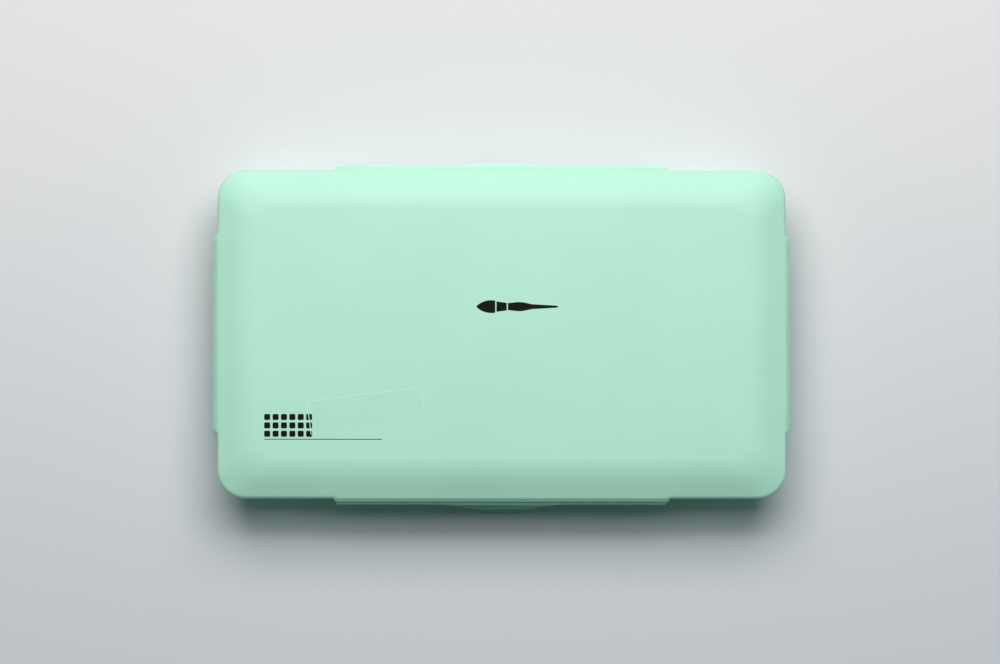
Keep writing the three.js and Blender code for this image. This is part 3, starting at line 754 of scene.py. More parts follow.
def tub_points(box):
    """The tub as rings: from its hollowed underside over the foot ring, up the drafted wall, round the
    turned-down flange, up the bead and down inside to the floor. Each lug pushes the rings of the
    flange's edge out to the lid's rim."""
    tub, half = box.tub, rim_half(box)
    soft_end = np.array([-1, -0.5, 0, 0.5, 1]) * tub.lug_round
    lug_ends = (np.array([[-1], [1]]) * tub.lug_length / 2 + soft_end).ravel()
    track = rim_track(box, lambda side: window_offset(box, side) + lug_ends, 6 * MM, 12)
    from_middle = np.abs(np.minimum(along_side(box, track), 1) - window_offset(box, track.side))
    lug = fade(from_middle - tub.lug_length / 2, -tub.lug_round, tub.lug_round)
    foot = tub_inset(tub, 0) + tub.bottom_round + tub.foot_width
    angle = np.linspace(0, math.pi / 2, 9)
    heights = tub.bottom_round * (1 - np.cos(angle))
    bottom = np.stack([tub_inset(tub, heights) + tub.bottom_round * (1 - np.sin(angle)), heights], axis=1)
    flange_foot = tub.flange_top - tub.flange_thickness
    lip_foot = flange_foot - tub.lip_drop
    lip_in, wall_in = tub.flange_inset + tub.lip_width, tub.inset + tub.wall
    lug_top = lip_foot + tub.lug_height
    round_in = tub.floor + tub.bottom_round / 2
    upright = [lip_foot + 1.5 * tub.edge, *(lug_top + np.array([-1, -0.5, 0, 0.25]) * tub.lug_round)]
    flange_edge = [[tub.flange_inset, height] for height in upright]
    profile = np.concatenate([
        filleted([[foot + 2 * MM, tub.foot_recess], [foot, tub.foot_recess], [foot, 0], bottom[0]],
                 tub.edge)[:-1],
        bottom,
        filleted([bottom[-1], [tub_inset(tub, flange_foot), flange_foot], [lip_in, flange_foot],
                  [lip_in, lip_foot], [tub.flange_inset, lip_foot], flange_edge[0]], tub.edge)[1:],
        flange_edge[1:],
        filleted([flange_edge[-1], [tub.flange_inset, tub.flange_top], [tub.inset, tub.flange_top],
                  [tub.inset, tub_high.z], [wall_in, tub_high.z], [wall_in, lid_low.z - tub.edge],
                  [tub_inset(tub, round_in) + tub.wall, round_in],
                  [tub_inset(tub, tub.floor) + tub.wall + tub.bottom_round / 2, tub.floor],
                  [foot + 4 * MM, tub.floor]], tub.edge)[1:],
    ])
    inset, height = profile.T
    edge_rows = (inset < tub.flange_inset + 1.2 * tub.edge) & (height < lug_top + tub.lug_round)
    push = fade(height, lug_top - tub.lug_round, lug_top + tub.lug_round / 4) * edge_rows
    proud = tub.flange_inset * push[:, None] * lug
    return track.rings(half, inset, inset_corner(box.lid)(inset), height, proud)


# Plates with sunk or open cells: the rack and the palette

class Cell:
    """A rectangle cut in even steps round a hole or hollow with round corners. Each side's first and
    last steps join to half of a corner."""

    def __init__(self, places_x, places_y, half_corner):
        self.grid = np.stack(np.meshgrid(places_x, places_y, indexing="ij"), axis=-1)
        self.size = self.grid[-1, -1] - self.grid[0, 0]
        self.half_corner = half_corner
        steps_x, steps_y = (len(places) - 2 * half_corner - 1 for places in (places_x, places_y))
        self.track = even_track(steps_x, steps_y, 2 * half_corner)

    def border(self, height):
        """The rectangle's own ring of points, counterclockwise and in step with the track's stations."""
        grid = self.grid
        ring = np.concatenate([grid[-1, :-1], grid[:0:-1, -1], grid[0, :0:-1], grid[:-1, 0]])
        return np.insert(np.roll(ring, -self.half_corner, axis=0), 2, height, axis=1)[None]

    def rings(self, half, profile, corner):
        """Rings round the cell's own middle."""
        middle = (self.grid[0, 0] + self.grid[-1, -1]) / 2
        return self.track.carried(half, profile, corner) + np.append(middle, 0)


def cells_between(lines_x, lines_y, steps_x, steps_y, half_corner):
    """The cells that fine lines make, with so many steps each way in a cell."""
    return [Cell(lines_x[x:x + steps_x + 1], lines_y[y:y + steps_y + 1], half_corner)
            for x in range(0, len(lines_x) - 1, steps_x) for y in range(0, len(lines_y) - 1, steps_y)]


def rack_patches(box):
    """The rack: a cell's hole runs down from the deck to the foot, and the deck's edge turns down into a
    skirt, with a channel under it all round the block of cells."""
    rack, tub = box.rack, box.tub
    steps, half_corner = 10, 3
    top, foot, edge = rack_high.z, rack_low.z, rack.edge
    counts = np.array([rack.columns, rack.rows])
    block = counts * rack.pitch / 2
    lines = [np.linspace(-reach, reach, count * steps + 1) for reach, count in zip(block, counts)]
    hole = np.full(2, (rack.pitch - rack.divider) / 2)
    beside = -0.4 * rack.divider
    through = filleted([[beside, top], [0, top], [0, foot], [beside, foot]], edge)

    def skirt(height, more=0.0):
        """A place on the skirt's outer face, or further in."""
        return [tub_inset(tub, height) + tub.wall + rack.gap + more, height]

    def cell_corner(inset):
        return rack.cell_corner - inset

    patches = [Patch(np.concatenate([cell.border(top), cell.rings(hole, through, cell_corner),
                                     cell.border(foot)]))
               for cell in cells_between(*lines, steps, steps, half_corner)]
    bent, under, turn_in = foot + tub.bottom_round / 2, top - rack.deck, tub.bottom_round / 2
    outside = filleted([
        skirt(top, 4 * edge), skirt(top), skirt(bent), skirt(foot, turn_in), skirt(foot, turn_in + rack.wall),
        skirt(bent, rack.wall), skirt(under, rack.wall), skirt(under, 3 * rack.wall),
    ], edge)
    inside = filleted([[-edge, under], [0, under], [0, foot], [edge, foot]], 0.8 * edge)
    whole = Cell(*lines, half_corner)
    patches.append(Patch(np.concatenate([
        whole.border(top), whole.rings(rim_half(box), outside, inset_corner(box.lid)),
        whole.rings(block + rack.divider / 2, inside, cell_corner), whole.border(foot),
    ])))
    return patches


def well_patches(palette, cell, corner):
    """One well: a drafted hollow in the plate's top, and the pan's body under it."""
    top, wall, draft, edge, floor_round = (palette_high.z, palette.wall, palette.draft, palette.edge,
                                           palette.floor_round)
    floor, under, pan_foot = top - palette.depth, top - wall, top - palette.depth - wall
    hollow = filleted([[-0.4 * palette.spacing, top], [0, top], [draft, floor],
                       [draft + 2 * floor_round, floor]], np.array([edge, floor_round]), steps=5)
    drafted = draft * wall / (top - pan_foot)
    body = filleted([[-0.45 * palette.spacing, under], [drafted - wall, under], [draft - wall, pan_foot],
                     [draft + floor_round, pan_foot]], np.array([edge / 2, floor_round]), steps=4)
    half = (cell.size - palette.spacing) / 2
    return [Patch(np.concatenate([cell.border(height),
                                  cell.rings(half, rows, lambda inset: np.maximum(corner - inset, MM))]),
                  caps=(False, True)) for height, rows in ((top, hollow), (under, body))]


def notch_depth(palette, inset, across):
    """How far a finger notch cuts into a palette's end, at a distance across it: a circular arc, with its
    two ends softened as s·ln(1 + e^(v/s)). Walls inside the edge run parallel to it."""
    outside = palette.notch_radius - palette.notch_depth + inset
    arc = np.sqrt(np.maximum((palette.notch_radius + inset) ** 2 - across ** 2, 0)) - outside
    return palette.notch_softness * np.logaddexp(0, arc / palette.notch_softness)


def palette_patches(box):
    """The palette: a row of small wells along the back, large basins in front of it, and an edge that
    turns down into a skirt, with a finger notch at each end."""
    palette = box.palette
    wall, top, under, foot = palette.wall, palette_high.z, palette_high.z - palette.wall, palette_low.z
    half = np.array([palette_high.x, palette_high.y])
    reach = half - palette.margin + palette.spacing / 2
    small_steps, basin_steps, half_corner, notch_steps = 9, 44, 4, 25
    lines_x = np.linspace(-reach[0], reach[0], palette.small_count * small_steps + 1)
    split = reach[1] - palette.small_size - palette.spacing
    back_y = np.linspace(split, reach[1], small_steps + 1)
    front_y = np.linspace(-reach[1], split, basin_steps + 1)
    per_basin = small_steps * palette.small_count // palette.basin_count
    patches = []
    for lines_y, steps_x, corner in ((back_y, small_steps, palette.small_corner),
                                     (front_y, per_basin, palette.basin_corner)):
        for cell in cells_between(lines_x, lines_y, steps_x, len(lines_y) - 1, half_corner):
            patches += well_patches(palette, cell, corner)
    whole = Cell(lines_x, np.concatenate([front_y[:-1], back_y]), half_corner)
    straight = half[1] - palette.corner
    notch = 1.1 * palette.notch_radius
    count = basin_steps + small_steps + 1 - 2 * half_corner
    beside = (count - notch_steps) // 2
    crowded = notch * np.sin(np.linspace(-math.pi / 2, math.pi / 2, count - 2 * beside))
    places = np.concatenate([np.linspace(-straight, -notch, beside + 1)[:-1], crowded,
                             np.linspace(notch, straight, beside + 1)[1:]]) / straight
    track = Track(np.linspace(-1, 1, len(lines_x) - 2 * half_corner), places, 2 * half_corner)
    profile = filleted([[3 * palette.edge, top], [0, top], [0, foot], [wall, foot], [wall, under],
                        [2 * wall, under]], palette.edge, steps=4)
    rings = track.carried(half, profile, lambda inset: palette.corner - inset)
    ends = np.select([track.side == 0, track.side == 2], [1, -1], 0)
    rings[..., 0] -= ends * notch_depth(palette, profile[:, :1], track.share[:, 1] * straight)
    patches.append(Patch(np.concatenate([whole.border(top), rings, whole.border(under)])))
    return patches


# Cups, their paint and their films

def cup_middles(rack):
    """The middles of the cups, row by row from the back, each row from the left."""
    x = (np.arange(rack.columns) - (rack.columns - 1) / 2) * rack.pitch
    y = ((rack.rows - 1) / 2 - np.arange(rack.rows)) * rack.pitch
    return [np.array([across, along, cup_low.z]) for along in y for across in x]


def cup_sizes(cups):
    """Half the rim's size, half the wall's size under it, and the cup's height."""
    rim = (cup_high.x - cup_low.x) / 2
    return rim, rim - cups.rim_reach, cup_high.z - cup_low.z


def hollow_half(cups, height):
    """Half the hollow's size at a height over the cup's bottom: it tapers in a straight line."""
    _, wall, full = cup_sizes(cups)
    return wall - cups.wall - cups.taper * (full - height) / full


def square_rings(cups, steps, corner_steps, sizes, heights):
    """Rings of half sizes at heights, whose corners are half as tight as they are smaller than the rim."""
    sizes = np.asarray(sizes, float)
    corner = cups.corner - (cup_sizes(cups)[0] - sizes) / 2
    half = np.repeat(sizes[:, None, None], 2, axis=2)
    return even_track(steps, steps, corner_steps).rings(half, 0 * sizes, corner, heights)


def cup_points(cups):
    """A cup: a tapered square pot with a round bottom edge and a flat rim."""
    rim, wall, full = cup_sizes(cups)
    under, flat, inner_floor = full - cups.rim_thickness, 3 * cups.bottom_round, hollow_half(cups, cups.wall)
    profile = filleted([
        [wall - cups.taper - flat, 0], [wall - cups.taper, 0], [wall, under], [rim, under], [rim, full],
        [hollow_half(cups, full), full], [inner_floor, cups.wall], [inner_floor - flat, cups.wall],
    ], np.array([cups.bottom_round, *[cups.edge] * 4, cups.bottom_round]), steps=4)
    return square_rings(cups, 6, 8, *profile.T)


def soft_waves(rng, x, y, count, longest, shortest):
    """A sum of sine waves of random direction, phase and length, scaled to about -1 to 1."""
    lengths = rng.uniform(shortest, longest, count)[:, None, None]
    angles = rng.uniform(0, 2 * math.pi, count)[:, None, None]
    phases = rng.uniform(0, 2 * math.pi, count)[:, None, None]
    run = x * np.cos(angles) + y * np.sin(angles)
    return np.sin(2 * math.pi * run / lengths + phases).sum(axis=0) / math.sqrt(count)


def paint_points(cups, seed):
    """The paint in a cup: tapered walls, a lip that climbs at the cup's wall as a high power, and a top
    with soft waves and a spiral swirl that rises to a small peak off the middle."""
    rng = np.random.default_rng(seed)
    level = cup_sizes(cups)[2] - cups.paint_below
    sides = np.linspace(cups.wall + cups.paint_gap, level, 5)
    sizes = hollow_half(cups, sides) - cups.paint_gap
    walls = square_rings(cups, 12, 10, sizes, sides + cups.meniscus * (sides >= level))
    share = (1 - np.linspace(0, 1, 41) ** 1.15)[1:, None]
    top = walls[-1] * np.array([1, 1, 0]) * share[..., None]
    x, y = top[..., 0], top[..., 1]
    peak = rng.uniform(-3, 3, 2) * MM
    radius = np.hypot(x - peak[0], y - peak[1])
    angle = np.arctan2(y - peak[1], x - peak[0]) * rng.choice([-1, 1])
    spiral = np.cos(angle - 2 * math.pi * radius / cups.spiral_pitch + rng.uniform(0, 6))
    core = np.exp(-(radius / cups.swirl_width) ** 2)
    turns = 0.22 * spiral * np.exp(-(radius / cups.spiral_width) ** 2)
    waves = soft_waves(rng, x, y, count=7, longest=26 * MM, shortest=8 * MM)
    relief = fade(share, 0.72, 0.97) * (cups.swirl * (core + turns) + cups.ripple * waves)
    top[..., 2] = level + cups.meniscus * share ** 24 + relief
    points = np.concatenate([walls, top])
    points[-1] = points[-1].mean(axis=0)
    return points


def film_points(cups, seed):
    """A peel-off film: a thin square sheet on the rim, with soft wrinkles that fade at the rim and one
    corner that curls up."""
    rim, _, full = cup_sizes(cups)
    edge = square_rings(cups, 10, 8, [rim - cups.film_inset], [0.0])
    sheet = edge * np.sqrt(np.linspace(0, 1, 22))[:, None, None]
    x, y = sheet[..., 0], sheet[..., 1]
    inside = fade(np.maximum(np.abs(x), np.abs(y)), rim - 5 * MM, rim - 2 * MM)
    rng = np.random.default_rng(seed)
    wrinkles = cups.film_wrinkle * soft_waves(rng, x, y, count=9, longest=16 * MM, shortest=5 * MM)
    lift = cups.film_curl * rise((x - y) / math.sqrt(2), rim * 1.12, rim * 1.36)
    sheet[..., 2] = full + 0.05 * MM + inside * (wrinkles - 0.1 * MM) + lift
    return np.concatenate([sheet + np.array([0, 0, cups.film_thickness]), sheet[::-1]])


# Marks and the label on the lid

def inset_of(lid, half, x, y):
    """How far a point of the flat middle lies in from the rim: the ring through it is straight beside
    the point, or passes it on a corner of the inner radius, where a quadratic gives the inset."""
    a, b = half[0] - np.abs(x) - lid.band_corner, half[1] - np.abs(y) - lid.band_corner
    under = np.maximum(2 * lid.band_corner ** 2 - (a - b) ** 2, 0)
    rounded = (a + b + np.sqrt(under)) / 2
    return np.where(np.abs(a - b) < lid.band_corner, rounded, np.minimum(a, b) + lid.band_corner)


def on_lid(box, x, y, over):
    """Points at places on the lid's middle, a distance over its skin."""
    half = rim_half(box)
    return np.stack([x, y, lid_skin(box.lid, half, inset_of(box.lid, half, x, y)) + over], axis=-1)


def inked(box, x, y):
    """A thin closed sheet over a grid of places on the lid."""
    sheets = [on_lid(box, x, y, over) for over in (0.005 * MM, box.marks.thickness)]
    rims = [np.concatenate([sheet[0], sheet[:, -1], sheet[-1, ::-1], sheet[::-1, 0]]) for sheet in sheets]
    return [Patch(sheet, round_columns=False) for sheet in sheets] + [Patch(np.stack(rims))]


def rounded_square(middle, side, steps=6):
    """Places in a square with round corners: a square grid whose points are drawn to a superellipse,
    |u|^6 + |v|^6 = r^6."""
    places = np.linspace(-1, 1, steps + 1)
    u, v = np.meshgrid(places, places)
    radius = (np.abs(u) ** 6 + np.abs(v) ** 6) ** (1 / 6)
    drawn = np.where(radius == 0, 1, np.maximum(np.abs(u), np.abs(v)) / np.maximum(radius, 1e-9))
    return middle[0] + u * drawn * side / 2, middle[1] + v * drawn * side / 2


def brush_patches(box):
    """The printed brush, lying level: a pointed head, a ferrule with a gap on each side, and a handle
    that swells and runs out to a round end."""
    marks = box.marks

    def part(start, stop, width, steps=40):
        """One part, between two shares of the brush's length, whose width is a function of its own share."""
        share = np.linspace(0, 1, steps + 1)[:, None]
        x = marks.brush_x + marks.brush_length * (start + (stop - start) * share - 0.5)
        y = marks.brush_y + marks.brush_width / 2 * width(share) * np.linspace(-1, 1, 5)
        return inked(box, x + 0 * y, y)

    def head(share):
        return np.maximum(np.sin(0.62 * math.pi * share ** 0.9) ** 0.8, 0.02)

    def handle(share):
        swell = 0.24 * np.sin(math.pi * np.minimum(share / 0.5, 1)) ** 1.5
        round_end = np.sqrt(1 - np.clip((share - 0.97) / 0.03, 0, 1) ** 2)
        return np.maximum((0.56 * (1 - share) ** 0.9 + swell + 0.13 * share) * round_end, 0.02)

    ferrule = part(0.245, 0.37, lambda share: 0.8 - 0.2 * share, 6)
    return part(0.0, 0.23, head) + ferrule + part(0.385, 1.0, handle)


def grid_patches(box):
    """The printed grid of squares, as the cups lie, over a plain rule."""
    marks = box.marks
    patches = inked(box, *np.meshgrid(marks.grid_x + np.linspace(0, marks.rule_length, 34),
                                      marks.grid_y + np.linspace(-0.5, 0.5, 3) * marks.rule_width))
    for row, column in np.ndindex(box.rack.rows, box.rack.columns):
        middle = (marks.grid_x + marks.square / 2 + column * marks.square_pitch,
                  marks.grid_y + 0.9 * marks.square + row * marks.square_pitch)
        patches += inked(box, *rounded_square(middle, marks.square))
    return patches


def label_points(box):
    """The clear label: a thin sheet with small round corners, turned on the lid, whose rim is a row of
    narrow quads of its own."""
    marks = box.marks
    half = np.array([marks.label_length, marks.label_width]) / 2
    inset = np.array([0, 0.12, 0.3, 1.0]) * MM
    rings = even_track(30, 8, 5).rings(half, inset, marks.label_corner - 0.8 * inset, 0.0)
    flat = np.concatenate([rings, rings[-1] * np.linspace(1, 0, 9)[1:, None, None]])
    x, y = turned(flat[..., 0], flat[..., 1], marks.label_turn)
    under, over = (on_lid(box, marks.label_x + x, marks.label_y + y, height)
                   for height in (0.01 * MM, marks.label_thickness))
    return np.concatenate([under[::-1], over])


# Finishes

class Value:
    """One value in a tree of nodes. Sums and products with it add Math nodes."""

    def __init__(self, nodes, socket):
        self.nodes = nodes
        self.socket = socket

    def math(self, operation, first, second=0.0):
        """A Math node on one or two values or numbers."""
        return self.nodes.add("ShaderNodeMath", {"operation": operation}, {0: first, 1: second})

    def __add__(self, other):
        return self.math("ADD", self, other)

    def __sub__(self, other):
        return self.math("SUBTRACT", self, other)

    def __rsub__(self, other):
        return self.math("SUBTRACT", other, self)

    def __mul__(self, other):
        return self.math("MULTIPLY", self, other)

    __radd__ = __add__
    __rmul__ = __mul__

    def part(self, axis):
        """One of a place's three numbers, 0 to 2."""
        return self.nodes.add("ShaderNodeSeparateXYZ", {}, {0: self}, axis)

    def step(self, start, stop, low=0.0, high=1.0, curve="SMOOTHSTEP"):
        """low up to start, high from stop on, and a smooth or straight rise between."""
        inputs = {"Value": self, "From Min": start, "From Max": stop, "To Min": low, "To Max": high}
        return self.nodes.add("ShaderNodeMapRange", {"interpolation_type": curve}, inputs)


class Nodes:
    """The nodes of a material or world, which are added one by one."""

    def __init__(self, owner):
        owner.use_nodes = True
        self.tree = owner.node_tree
        self.tree.nodes.clear()

    def add(self, kind, settings, inputs, output=0):
        """Adds a node, with its settings first and then its inputs, and gives one output back."""
        node = self.tree.nodes.new(kind)
        for name, value in settings.items():
            setattr(node, name, value)
        for name, value in inputs.items():
            self.feed(node.inputs[name], value)
        return Value(self, node.outputs[output]) if node.outputs else None

    def feed(self, socket, value):
        """Links a Value to a socket, or sets the socket to a plain number or colour."""
        if isinstance(value, Value):
            self.tree.links.new(value.socket, socket)
        else:
            socket.default_value = value


class Finish(Nodes):
    """A material round one Principled shader."""

    def __init__(self, name):
        self.material = bpy.data.materials.new(name)
        super().__init__(self.material)
        self.shader = self.tree.nodes.new("ShaderNodeBsdfPrincipled")
        self.add("ShaderNodeOutputMaterial", {}, {"Surface": Value(self, self.shader.outputs["BSDF"])})
        self.place = self.add("ShaderNodeTexCoord", {}, {}, "Object")

    def set(self, **inputs):
        """Feeds the shader's inputs, named with underscores for spaces."""
        for name, value in inputs.items():
            self.feed(self.shader.inputs[name.replace("_", " ")], value)

    def scatter(self, weight, radius, scale):
        """Lets light into the surface, as far as three radii in metres times a scale."""
        self.set(Subsurface_Weight=weight, Subsurface_Radius=radius, Subsurface_Scale=scale)

    def noise(self, size, detail=2.0, vector=None, distortion=0.0):
        """Noise whose spots are about a size across, in metres, from 0 to 1."""
        inputs = {"Vector": vector or self.place, "Scale": 1 / size, "Detail": detail,
                  "Distortion": distortion}
        return self.add("ShaderNodeTexNoise", {}, inputs)

    def drawn_out(self, share, angle):
        """The object's own coordinates, turned flat and squeezed so that spots become streaks."""
        inputs = {"Vector": self.place, "Scale": (share, 1, 1), "Rotation": (0, 0, angle)}
        return self.add("ShaderNodeMapping", {}, inputs)

    def mix(self, share, first, second):
        """A colour between two others."""
        inputs = {0: share, 6: opaque(first), 7: opaque(second)}
        return self.add("ShaderNodeMix", {"data_type": "RGBA"}, inputs, 2)

    def bump(self, height, distance, strength=0.5):
        """Relief from a height of 0 to 1, as deep as a distance in metres."""
        inputs = {"Height": height, "Distance": distance, "Strength": strength}
        self.set(Normal=self.add("ShaderNodeBump", {}, inputs))


def finished(make, box):
    """The material of a function's name, which the function gives its nodes on the first use."""
    name = make.__name__
    if name not in bpy.data.materials:
        make(Finish(name), box)
    return bpy.data.materials[name]


def opaque(colour):
    """A colour with full alpha; a linked one stays as it is."""
    return colour if isinstance(colour, Value) else tuple(colour)[:3] + (1.0,)


def scaled(colour, factor):
    """A colour made lighter or darker by a factor."""
    return tuple(min(1.0, part * factor) for part in colour)


def mint_shell_plastic(finish, box):
    """Satin moulded plastic: a fine spark-eroded grain, soft clouds in tone and gloss, faint hairlines
    from handling, and a rare speck of dust."""
    mint, rough = box.finish.mint, box.finish.shell_roughness
    finish.set(IOR=1.49, Specular_IOR_Level=0.6)
    finish.scatter(0.06, (0.004, 0.006, 0.005), 0.35)
    clouds = finish.noise(55 * MM, 3)
    grain = finish.noise(0.32 * MM, 1)
    pebbles = finish.noise(1.1 * MM)
    hairlines = finish.noise(3 * MM, 3, finish.drawn_out(0.05, 0.6)).step(0.66, 0.72)
    specks = finish.noise(2.2 * MM, 0).step(0.86, 0.9)
    tone = finish.mix(clouds.step(0.3, 0.7), scaled(mint, 0.985), scaled(mint, 1.012))
    finish.set(Base_Color=finish.mix(specks * 0.25, tone, scaled(mint, 0.55)),
               Roughness=rough - 0.03 + clouds * 0.07 + (pebbles - 0.5) * 0.06 - hairlines * 0.05)
    finish.bump(grain * 0.6 + pebbles * 0.4, 0.014 * MM, 0.6)


def white_tray_plastic(finish, box):
    """Smooth white moulded plastic with faint flow clouds and light scuffs in its gloss."""
    white = box.finish.white
    finish.set(IOR=1.5)
    finish.scatter(0.1, (0.004, 0.004, 0.004), 0.3)
    flow = finish.noise(30 * MM, 3, distortion=1.2)
    scuffs = finish.noise(2.5 * MM, 4, finish.drawn_out(0.12, 0.9)).step(0.6, 0.72)
    finish.set(Base_Color=finish.mix(flow, scaled(white, 0.97), scaled(white, 1.01)),
               Roughness=0.26 + flow * 0.1 + scuffs * 0.12)
    finish.bump(finish.noise(0.7 * MM), 0.004 * MM)


def milky_cup_plastic(finish, box):
    """Milky see-through plastic of thin-walled cups, clouded where it is thicker."""
    milky = box.finish.milky
    finish.set(IOR=1.49)
    finish.scatter(0.35, (0.006, 0.006, 0.006), 0.5)
    flow = finish.noise(14 * MM, distortion=0.2)
    finish.set(Base_Color=finish.mix(flow, scaled(milky, 0.98), scaled(milky, 1.02)),
               Roughness=0.2 + flow * 0.14)
    finish.bump(finish.noise(0.9 * MM), 0.005 * MM)


def seal_silicone(finish, box):
    """Matt pale silicone with a dusty bloom."""
    rubber = box.finish.rubber
    finish.set(IOR=1.42)
    finish.scatter(0.1, (0.003, 0.003, 0.003), 0.3)
    bloom = finish.noise(6 * MM, 4)
    finish.set(Base_Color=finish.mix(bloom, scaled(rubber, 0.94), rubber), Roughness=0.6 + bloom * 0.15)
    finish.bump(finish.noise(0.4 * MM), 0.008 * MM, 0.6)


def thick_paint(name, colour):
    """The material of a thick water paint: streaks of a lighter and a deeper tone stirred round the cup,
    and a wet gloss that dries dull in places."""
    finish = Finish(name)
    finish.set(IOR=1.45, Specular_IOR_Level=0.5, Coat_Roughness=0.12)
    stirred = finish.noise(9 * MM, 4, distortion=2.4)
    fine = finish.noise(1.6 * MM, 3, distortion=1.0)
    lighter = tuple(part + (1 - part) * 0.1 for part in colour)
    tone = finish.mix(stirred.step(0.42, 0.62), scaled(colour, 0.86), colour)
    dry = finish.noise(5 * MM, 3).step(0.45, 0.62)
    finish.set(Base_Color=finish.mix(fine.step(0.56, 0.7) * 0.5, tone, lighter),
               Roughness=0.3 + dry * 0.2 + fine * 0.06, Coat_Weight=0.35 - dry * 0.3)
    finish.bump(fine * 0.7 + stirred * 0.3, 0.12 * MM)
    return finish.material


def peel_film_clear(finish, box):
    """Clear film with fine crinkles in its gloss."""
    finish.set(IOR=1.5, Base_Color=opaque(box.finish.film))
    crinkles = finish.noise(4 * MM, 4, distortion=0.6)
    finish.set(Roughness=0.08 + crinkles.step(0.4, 0.7) * 0.16, Alpha=0.1 + crinkles.step(0.5, 0.75) * 0.12)
    finish.bump(crinkles, 0.2 * MM)


def clear_label_film_painted_edge_highlight(finish, box):
    """Clear label film with a painted highlight: a nearly opaque pale band along its cut edge stands in for
    the edge catching the light.
    """
    marks = box.marks
    # Pale mint colour, which shows almost only in the painted edge highlight.
    finish.set(IOR=1.47, Base_Color=(0.62, 1.0, 0.84, 1.0))
    laid = finish.add("ShaderNodeMapping", {"vector_type": "TEXTURE"}, {
        "Vector": finish.place, "Location": (marks.label_x, marks.label_y, 0.0),
        "Rotation": (0.0, 0.0, marks.label_turn)})
    beyond = [laid.math("ABSOLUTE", laid.part(axis)) - size / 2
              for axis, size in enumerate((marks.label_length, marks.label_width))]
    # Painted highlight: the film turns nearly opaque along its cut edge.
    edge = laid.math("MAXIMUM", *beyond).step(-0.5 * MM, -0.38 * MM)
    smears = finish.noise(9 * MM, 3, distortion=0.7).step(0.45, 0.75)
    finish.set(Alpha=0.015 + edge * 0.96 + smears * 0.02, Roughness=0.22 + smears * 0.15)


def black_screen_ink(finish, box):
    """Flat screen-printed ink with a slightly uneven film."""
    ink = box.finish.ink
    finish.set(IOR=1.45, Specular_IOR_Level=0.12)
    mesh = finish.noise(0.25 * MM, 1)
    patchy = finish.noise(3 * MM, 3)
    finish.set(Base_Color=finish.mix(patchy, scaled(ink, 0.5), scaled(ink, 0.9)),
               Roughness=0.55 + mesh * 0.12)
    finish.bump(mesh, 0.004 * MM)


def studio_floor(finish, box):
    """Smooth matt painted board with painted light in its colour: it pales towards its back and grows darker
    and bluer towards its front, as the lamps' light falls off. A very soft cloud varies its tone.
    """
    stage = box.stage
    finish.set(Specular_IOR_Level=0.15)
    # Painted light: the floor's colour runs from painted shade at the front to painted light at the back.
    back = finish.place.part(1).step(-stage.floor_fade, stage.floor_fade)
    cloud = finish.noise(0.35) * 0.1 - 0.05
    finish.set(Base_Color=finish.mix(back + cloud, stage.floor_front, stage.floor_back),
               Roughness=0.8 + finish.noise(2 * MM) * 0.1)
    finish.bump(finish.noise(1.2 * MM, 3), 0.01 * MM, 0.4)


# Operators

class PAINTBOX_OT_lid(bpy.types.Operator):
    """Build the crowned lid and the seal in its channel"""
    bl_idname = "paint_box.lid"
    bl_label = "Lid and Seal"

    def execute(self, context):
        box = context.scene.paint_box
        shell = finished(mint_shell_plastic, box)
        add_piece("lid_shell", [Patch(lid_points(box))], shell, "mint_shell", "lid", "lid")
        seal = [Patch(seal_points(box), round_rows=True)]
        add_piece("lid_gasket", seal, finished(seal_silicone, box), "seal_rubber", "lid", "lid_seal")
        return {"FINISHED"}


class PAINTBOX_OT_flaps(bpy.types.Operator):
    """Build the four latch flaps and the thin webs that they hang from"""
    bl_idname = "paint_box.flaps"
    bl_label = "Flaps and Webs"

    def execute(self, context):
        box = context.scene.paint_box
        shell = finished(mint_shell_plastic, box)
        for side, name in enumerate(SIDE_NAMES):
            flap = f"{name}_flap"
            add_piece(f"{flap}_plate", flap_patches(box, side), shell, "mint_shell", flap, f"flap_{name}")
            web = add_piece(f"{flap}_hinge_web", web_patches(box, side), shell, "mint_shell")
            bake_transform(web)
            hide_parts(f"flap_web_{name}")
        return {"FINISHED"}


class PAINTBOX_OT_tub(bpy.types.Operator):
    """Build the tub with its flange, lugs and foot ring"""
    bl_idname = "paint_box.tub"
    bl_label = "Tub"

    def execute(self, context):
        box = context.scene.paint_box
        patch = Patch(tub_points(box), caps=(True, True))
        add_piece("tub_shell", [patch], finished(mint_shell_plastic, box), "mint_shell", "tub", "tub")
        return {"FINISHED"}


class PAINTBOX_OT_rack(bpy.types.Operator):
    """Build the rack that the cups hang in"""
    bl_idname = "paint_box.rack"
    bl_label = "Cup Rack"

    def execute(self, context):
        box = context.scene.paint_box
        plastic = finished(white_tray_plastic, box)
        add_piece("rack_tray", rack_patches(box), plastic, "white_plastic", "rack", "cup_rack")
        return {"FINISHED"}


class PAINTBOX_OT_cups(bpy.types.Operator):
    """Build the eighteen cups, the paint in them and their peel-off films"""
    bl_idname = "paint_box.cups"
    bl_label = "Filled Cups"

    def execute(self, context):
        box = context.scene.paint_box
        cups = box.cups
        milky, film = finished(milky_cup_plastic, box), finished(peel_film_clear, box)
        for index, middle in enumerate(cup_middles(box.rack)):
            digits, seed = f"{index + 1:02d}", cups.seed + index
            body = f"filled_cup_{digits}"
            pot = Patch(cup_points(cups) + middle, caps=(True, True))
            add_piece(f"cup_pot_{digits}", [pot], milky, "milky_cup", body, f"cup_{digits}")
            slot = record_row("subparts", "node", f"paint_{digits}")["material_slot"]
            paint = thick_paint(slot, linear(record_colour(slot)))
            fill = Patch(paint_points(cups, seed) + middle, caps=(True, False))
            add_piece(f"paint_fill_{digits}", [fill], paint, slot, body, f"paint_{digits}")
            sheet = Patch(film_points(cups, seed) + middle)
            add_piece(f"peel_film_{digits}", [sheet], film, "clear_film", body)
        return {"FINISHED"}


